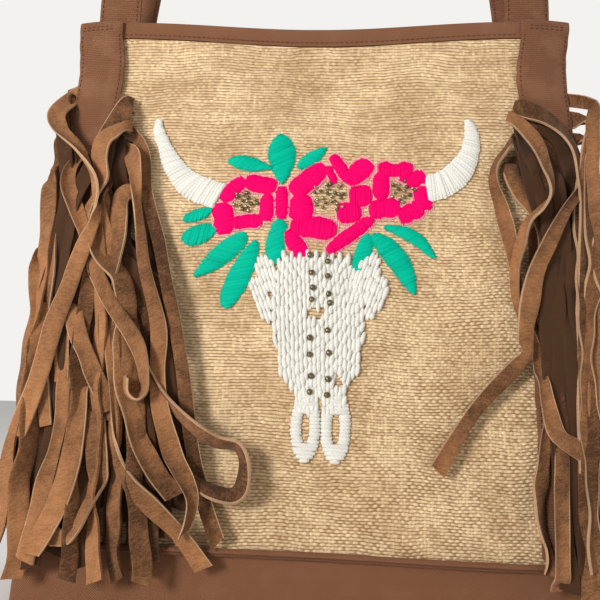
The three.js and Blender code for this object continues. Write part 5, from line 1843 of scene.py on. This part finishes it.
class TOTE_OT_beads(Operator):
    """Metal beads down the skull and in the flowers' middles"""
    bl_idname = "tote.beads"
    bl_label = "Beads"

    def execute(self, context):
        settings = context.scene.tote_threads
        chance = np.random.default_rng(settings.seed)
        radius, small = settings.bead / MM / 2, settings.small_bead / MM / 2
        body = Body()
        for bead in SKULL_BEADS:
            turn = chance.uniform(0, np.pi)
            centre = on_front(bead.x, bead.z, 1.6 + radius * 0.6)
            add_bead(body, centre, radius, (math.cos(turn), 0.2, math.sin(turn)), 1)
        body.piece("beads_skull", ["brass", "bronze"])
        golden = math.pi * (3 - math.sqrt(5))
        for name, flower in FLOWERS.items():
            if not flower.beads:
                continue
            body = Body()
            for i in range(flower.beads):
                reach = flower.bead_reach * math.sqrt((i + 0.4) / flower.beads) * chance.uniform(0.85, 1.05)
                turn = golden * i + chance.uniform(-0.4, 0.4)
                size = small * chance.uniform(0.85, 1.15)
                x, z = flower.x + reach * math.cos(turn), flower.z + reach * math.sin(turn)
                centre = on_front(x, z, 0.4 + size)
                spin = chance.uniform(0, np.pi)
                add_bead(body, centre, size, (math.cos(spin), 0.3, math.sin(spin)), i % 2)
            body.piece("beads_" + name, ["brass", "bronze"])
        return {"FINISHED"}


# Stage
def area_light(lamp, power):
    """A square soft light at a lamp's place, turned to the bag."""
    light = bpy.data.lights.new(lamp.name, "AREA")
    light.energy = power
    light.size = lamp.width
    holder = bpy.data.objects.new(lamp.name, light)
    holder.location = lamp.place
    holder.rotation_euler = (Vector(LAMP_TARGET) - Vector(lamp.place)).to_track_quat("-Z", "Y").to_euler()
    bpy.context.scene.collection.objects.link(holder)


def camera_matrix():
    """The camera's axes and place from its pitch, yaw and roll."""
    pitch, yaw, roll = (math.radians(turn) for turn in (CAMERA_PITCH, CAMERA_YAW, CAMERA_ROLL))
    forward = Vector((-math.sin(yaw) * math.cos(pitch), math.cos(yaw) * math.cos(pitch), math.sin(pitch)))
    level = Vector((math.cos(yaw), math.sin(yaw), 0))
    rise = level.cross(forward)
    across = level * math.cos(roll) + rise * math.sin(roll)
    up = rise * math.cos(roll) - level * math.sin(roll)
    matrix = Matrix((across, up, -forward)).transposed().to_4x4()
    matrix.translation = Vector(CAMERA_PLACE) * MM
    return matrix


class TOTE_OT_stage(Operator):
    """Pale floor, soft lights, surround and camera"""
    bl_idname = "tote.stage"
    bl_label = "Stage"

    def execute(self, context):
        scene = context.scene
        settings = scene.tote_stage
        lens = bpy.data.cameras.new("Camera")
        lens.lens = CAMERA_LENS
        lens.sensor_width = CAMERA_SENSOR
        lens.clip_start = CAMERA_NEAR
        camera = bpy.data.objects.new("Camera", lens)
        camera.matrix_world = camera_matrix()
        scene.collection.objects.link(camera)
        scene.camera = camera

        mesh = bpy.data.meshes.new("floor")
        angle = 2 * np.pi * np.arange(FLOOR_SIDES) / FLOOR_SIDES
        rim = FLOOR_RADIUS * grid(np.cos(angle), np.sin(angle), 0)
        mesh.from_pydata(rim.tolist(), [], [list(range(FLOOR_SIDES))])
        layer = mesh.uv_layers.new(name="cloth")
        layer.uv.foreach_set("vector", (rim[:, :2] / MM).astype(np.float32).ravel())
        mesh.materials.append(finish_material("floor"))
        floor = bpy.data.objects.new("floor", mesh)
        scene.collection.objects.link(floor)

        for lamp in LAMPS:
            area_light(lamp, getattr(settings, lamp.name))
        world = bpy.data.worlds.new("surround")
        world.use_nodes = True
        background = next(n for n in world.node_tree.nodes if n.type == "BACKGROUND")
        background.inputs["Color"].default_value = SURROUND_TINT
        sky = Graph(world.node_tree)
        way = sky.split(sky.node("ShaderNodeTexCoord").outputs["Generated"])
        glow = sky.remap(way[1], SURROUND_FRONT, SURROUND_BACK, settings.sky, settings.back)
        sky.put(background.inputs["Strength"], glow)
        scene.world = world
        scene.view_settings.view_transform = "Standard"
        return {"FINISHED"}


class TOTE_PT_panel(Panel):
    """Lists the bag's settings and building steps"""
    bl_label = "Tote bag"
    bl_idname = "TOTE_PT_panel"
    bl_space_type = "VIEW_3D"
    bl_region_type = "UI"
    bl_category = "Tote bag"

    def draw(self, context):
        for settings in SETTINGS:
            box = self.layout.box()
            group = getattr(context.scene, settings)
            for name in group.__annotations__:
                box.prop(group, name)
        for operator in OPERATORS:
            self.layout.operator(operator.bl_idname)


SETTINGS = {
    "tote_cloth": ClothSettings,
    "tote_fringe": FringeSettings,
    "tote_threads": ThreadSettings,
    "tote_colours": ColourSettings,
    "tote_stage": StageSettings,
}
OPERATORS = (
    TOTE_OT_stage,
    TOTE_OT_walls,
    TOTE_OT_base,
    TOTE_OT_binding,
    TOTE_OT_bands,
    TOTE_OT_handles,
    TOTE_OT_fringe,
    TOTE_OT_leaves,
    TOTE_OT_flowers,
    TOTE_OT_skull,
    TOTE_OT_beads,
)
CLASSES = (*SETTINGS.values(), *OPERATORS, TOTE_PT_panel)


def register():
    for cls in CLASSES:
        bpy.utils.register_class(cls)
    for name, settings in SETTINGS.items():
        setattr(bpy.types.Scene, name, PointerProperty(type=settings))


def unregister():
    for name in SETTINGS:
        delattr(bpy.types.Scene, name)
    for cls in reversed(CLASSES):
        bpy.utils.unregister_class(cls)


def main():
    register()
    for operator in OPERATORS:
        step = operator.bl_idname.split(".")[1]
        getattr(bpy.ops.tote, step)()
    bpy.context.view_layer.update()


if __name__ == "__main__":
    main()
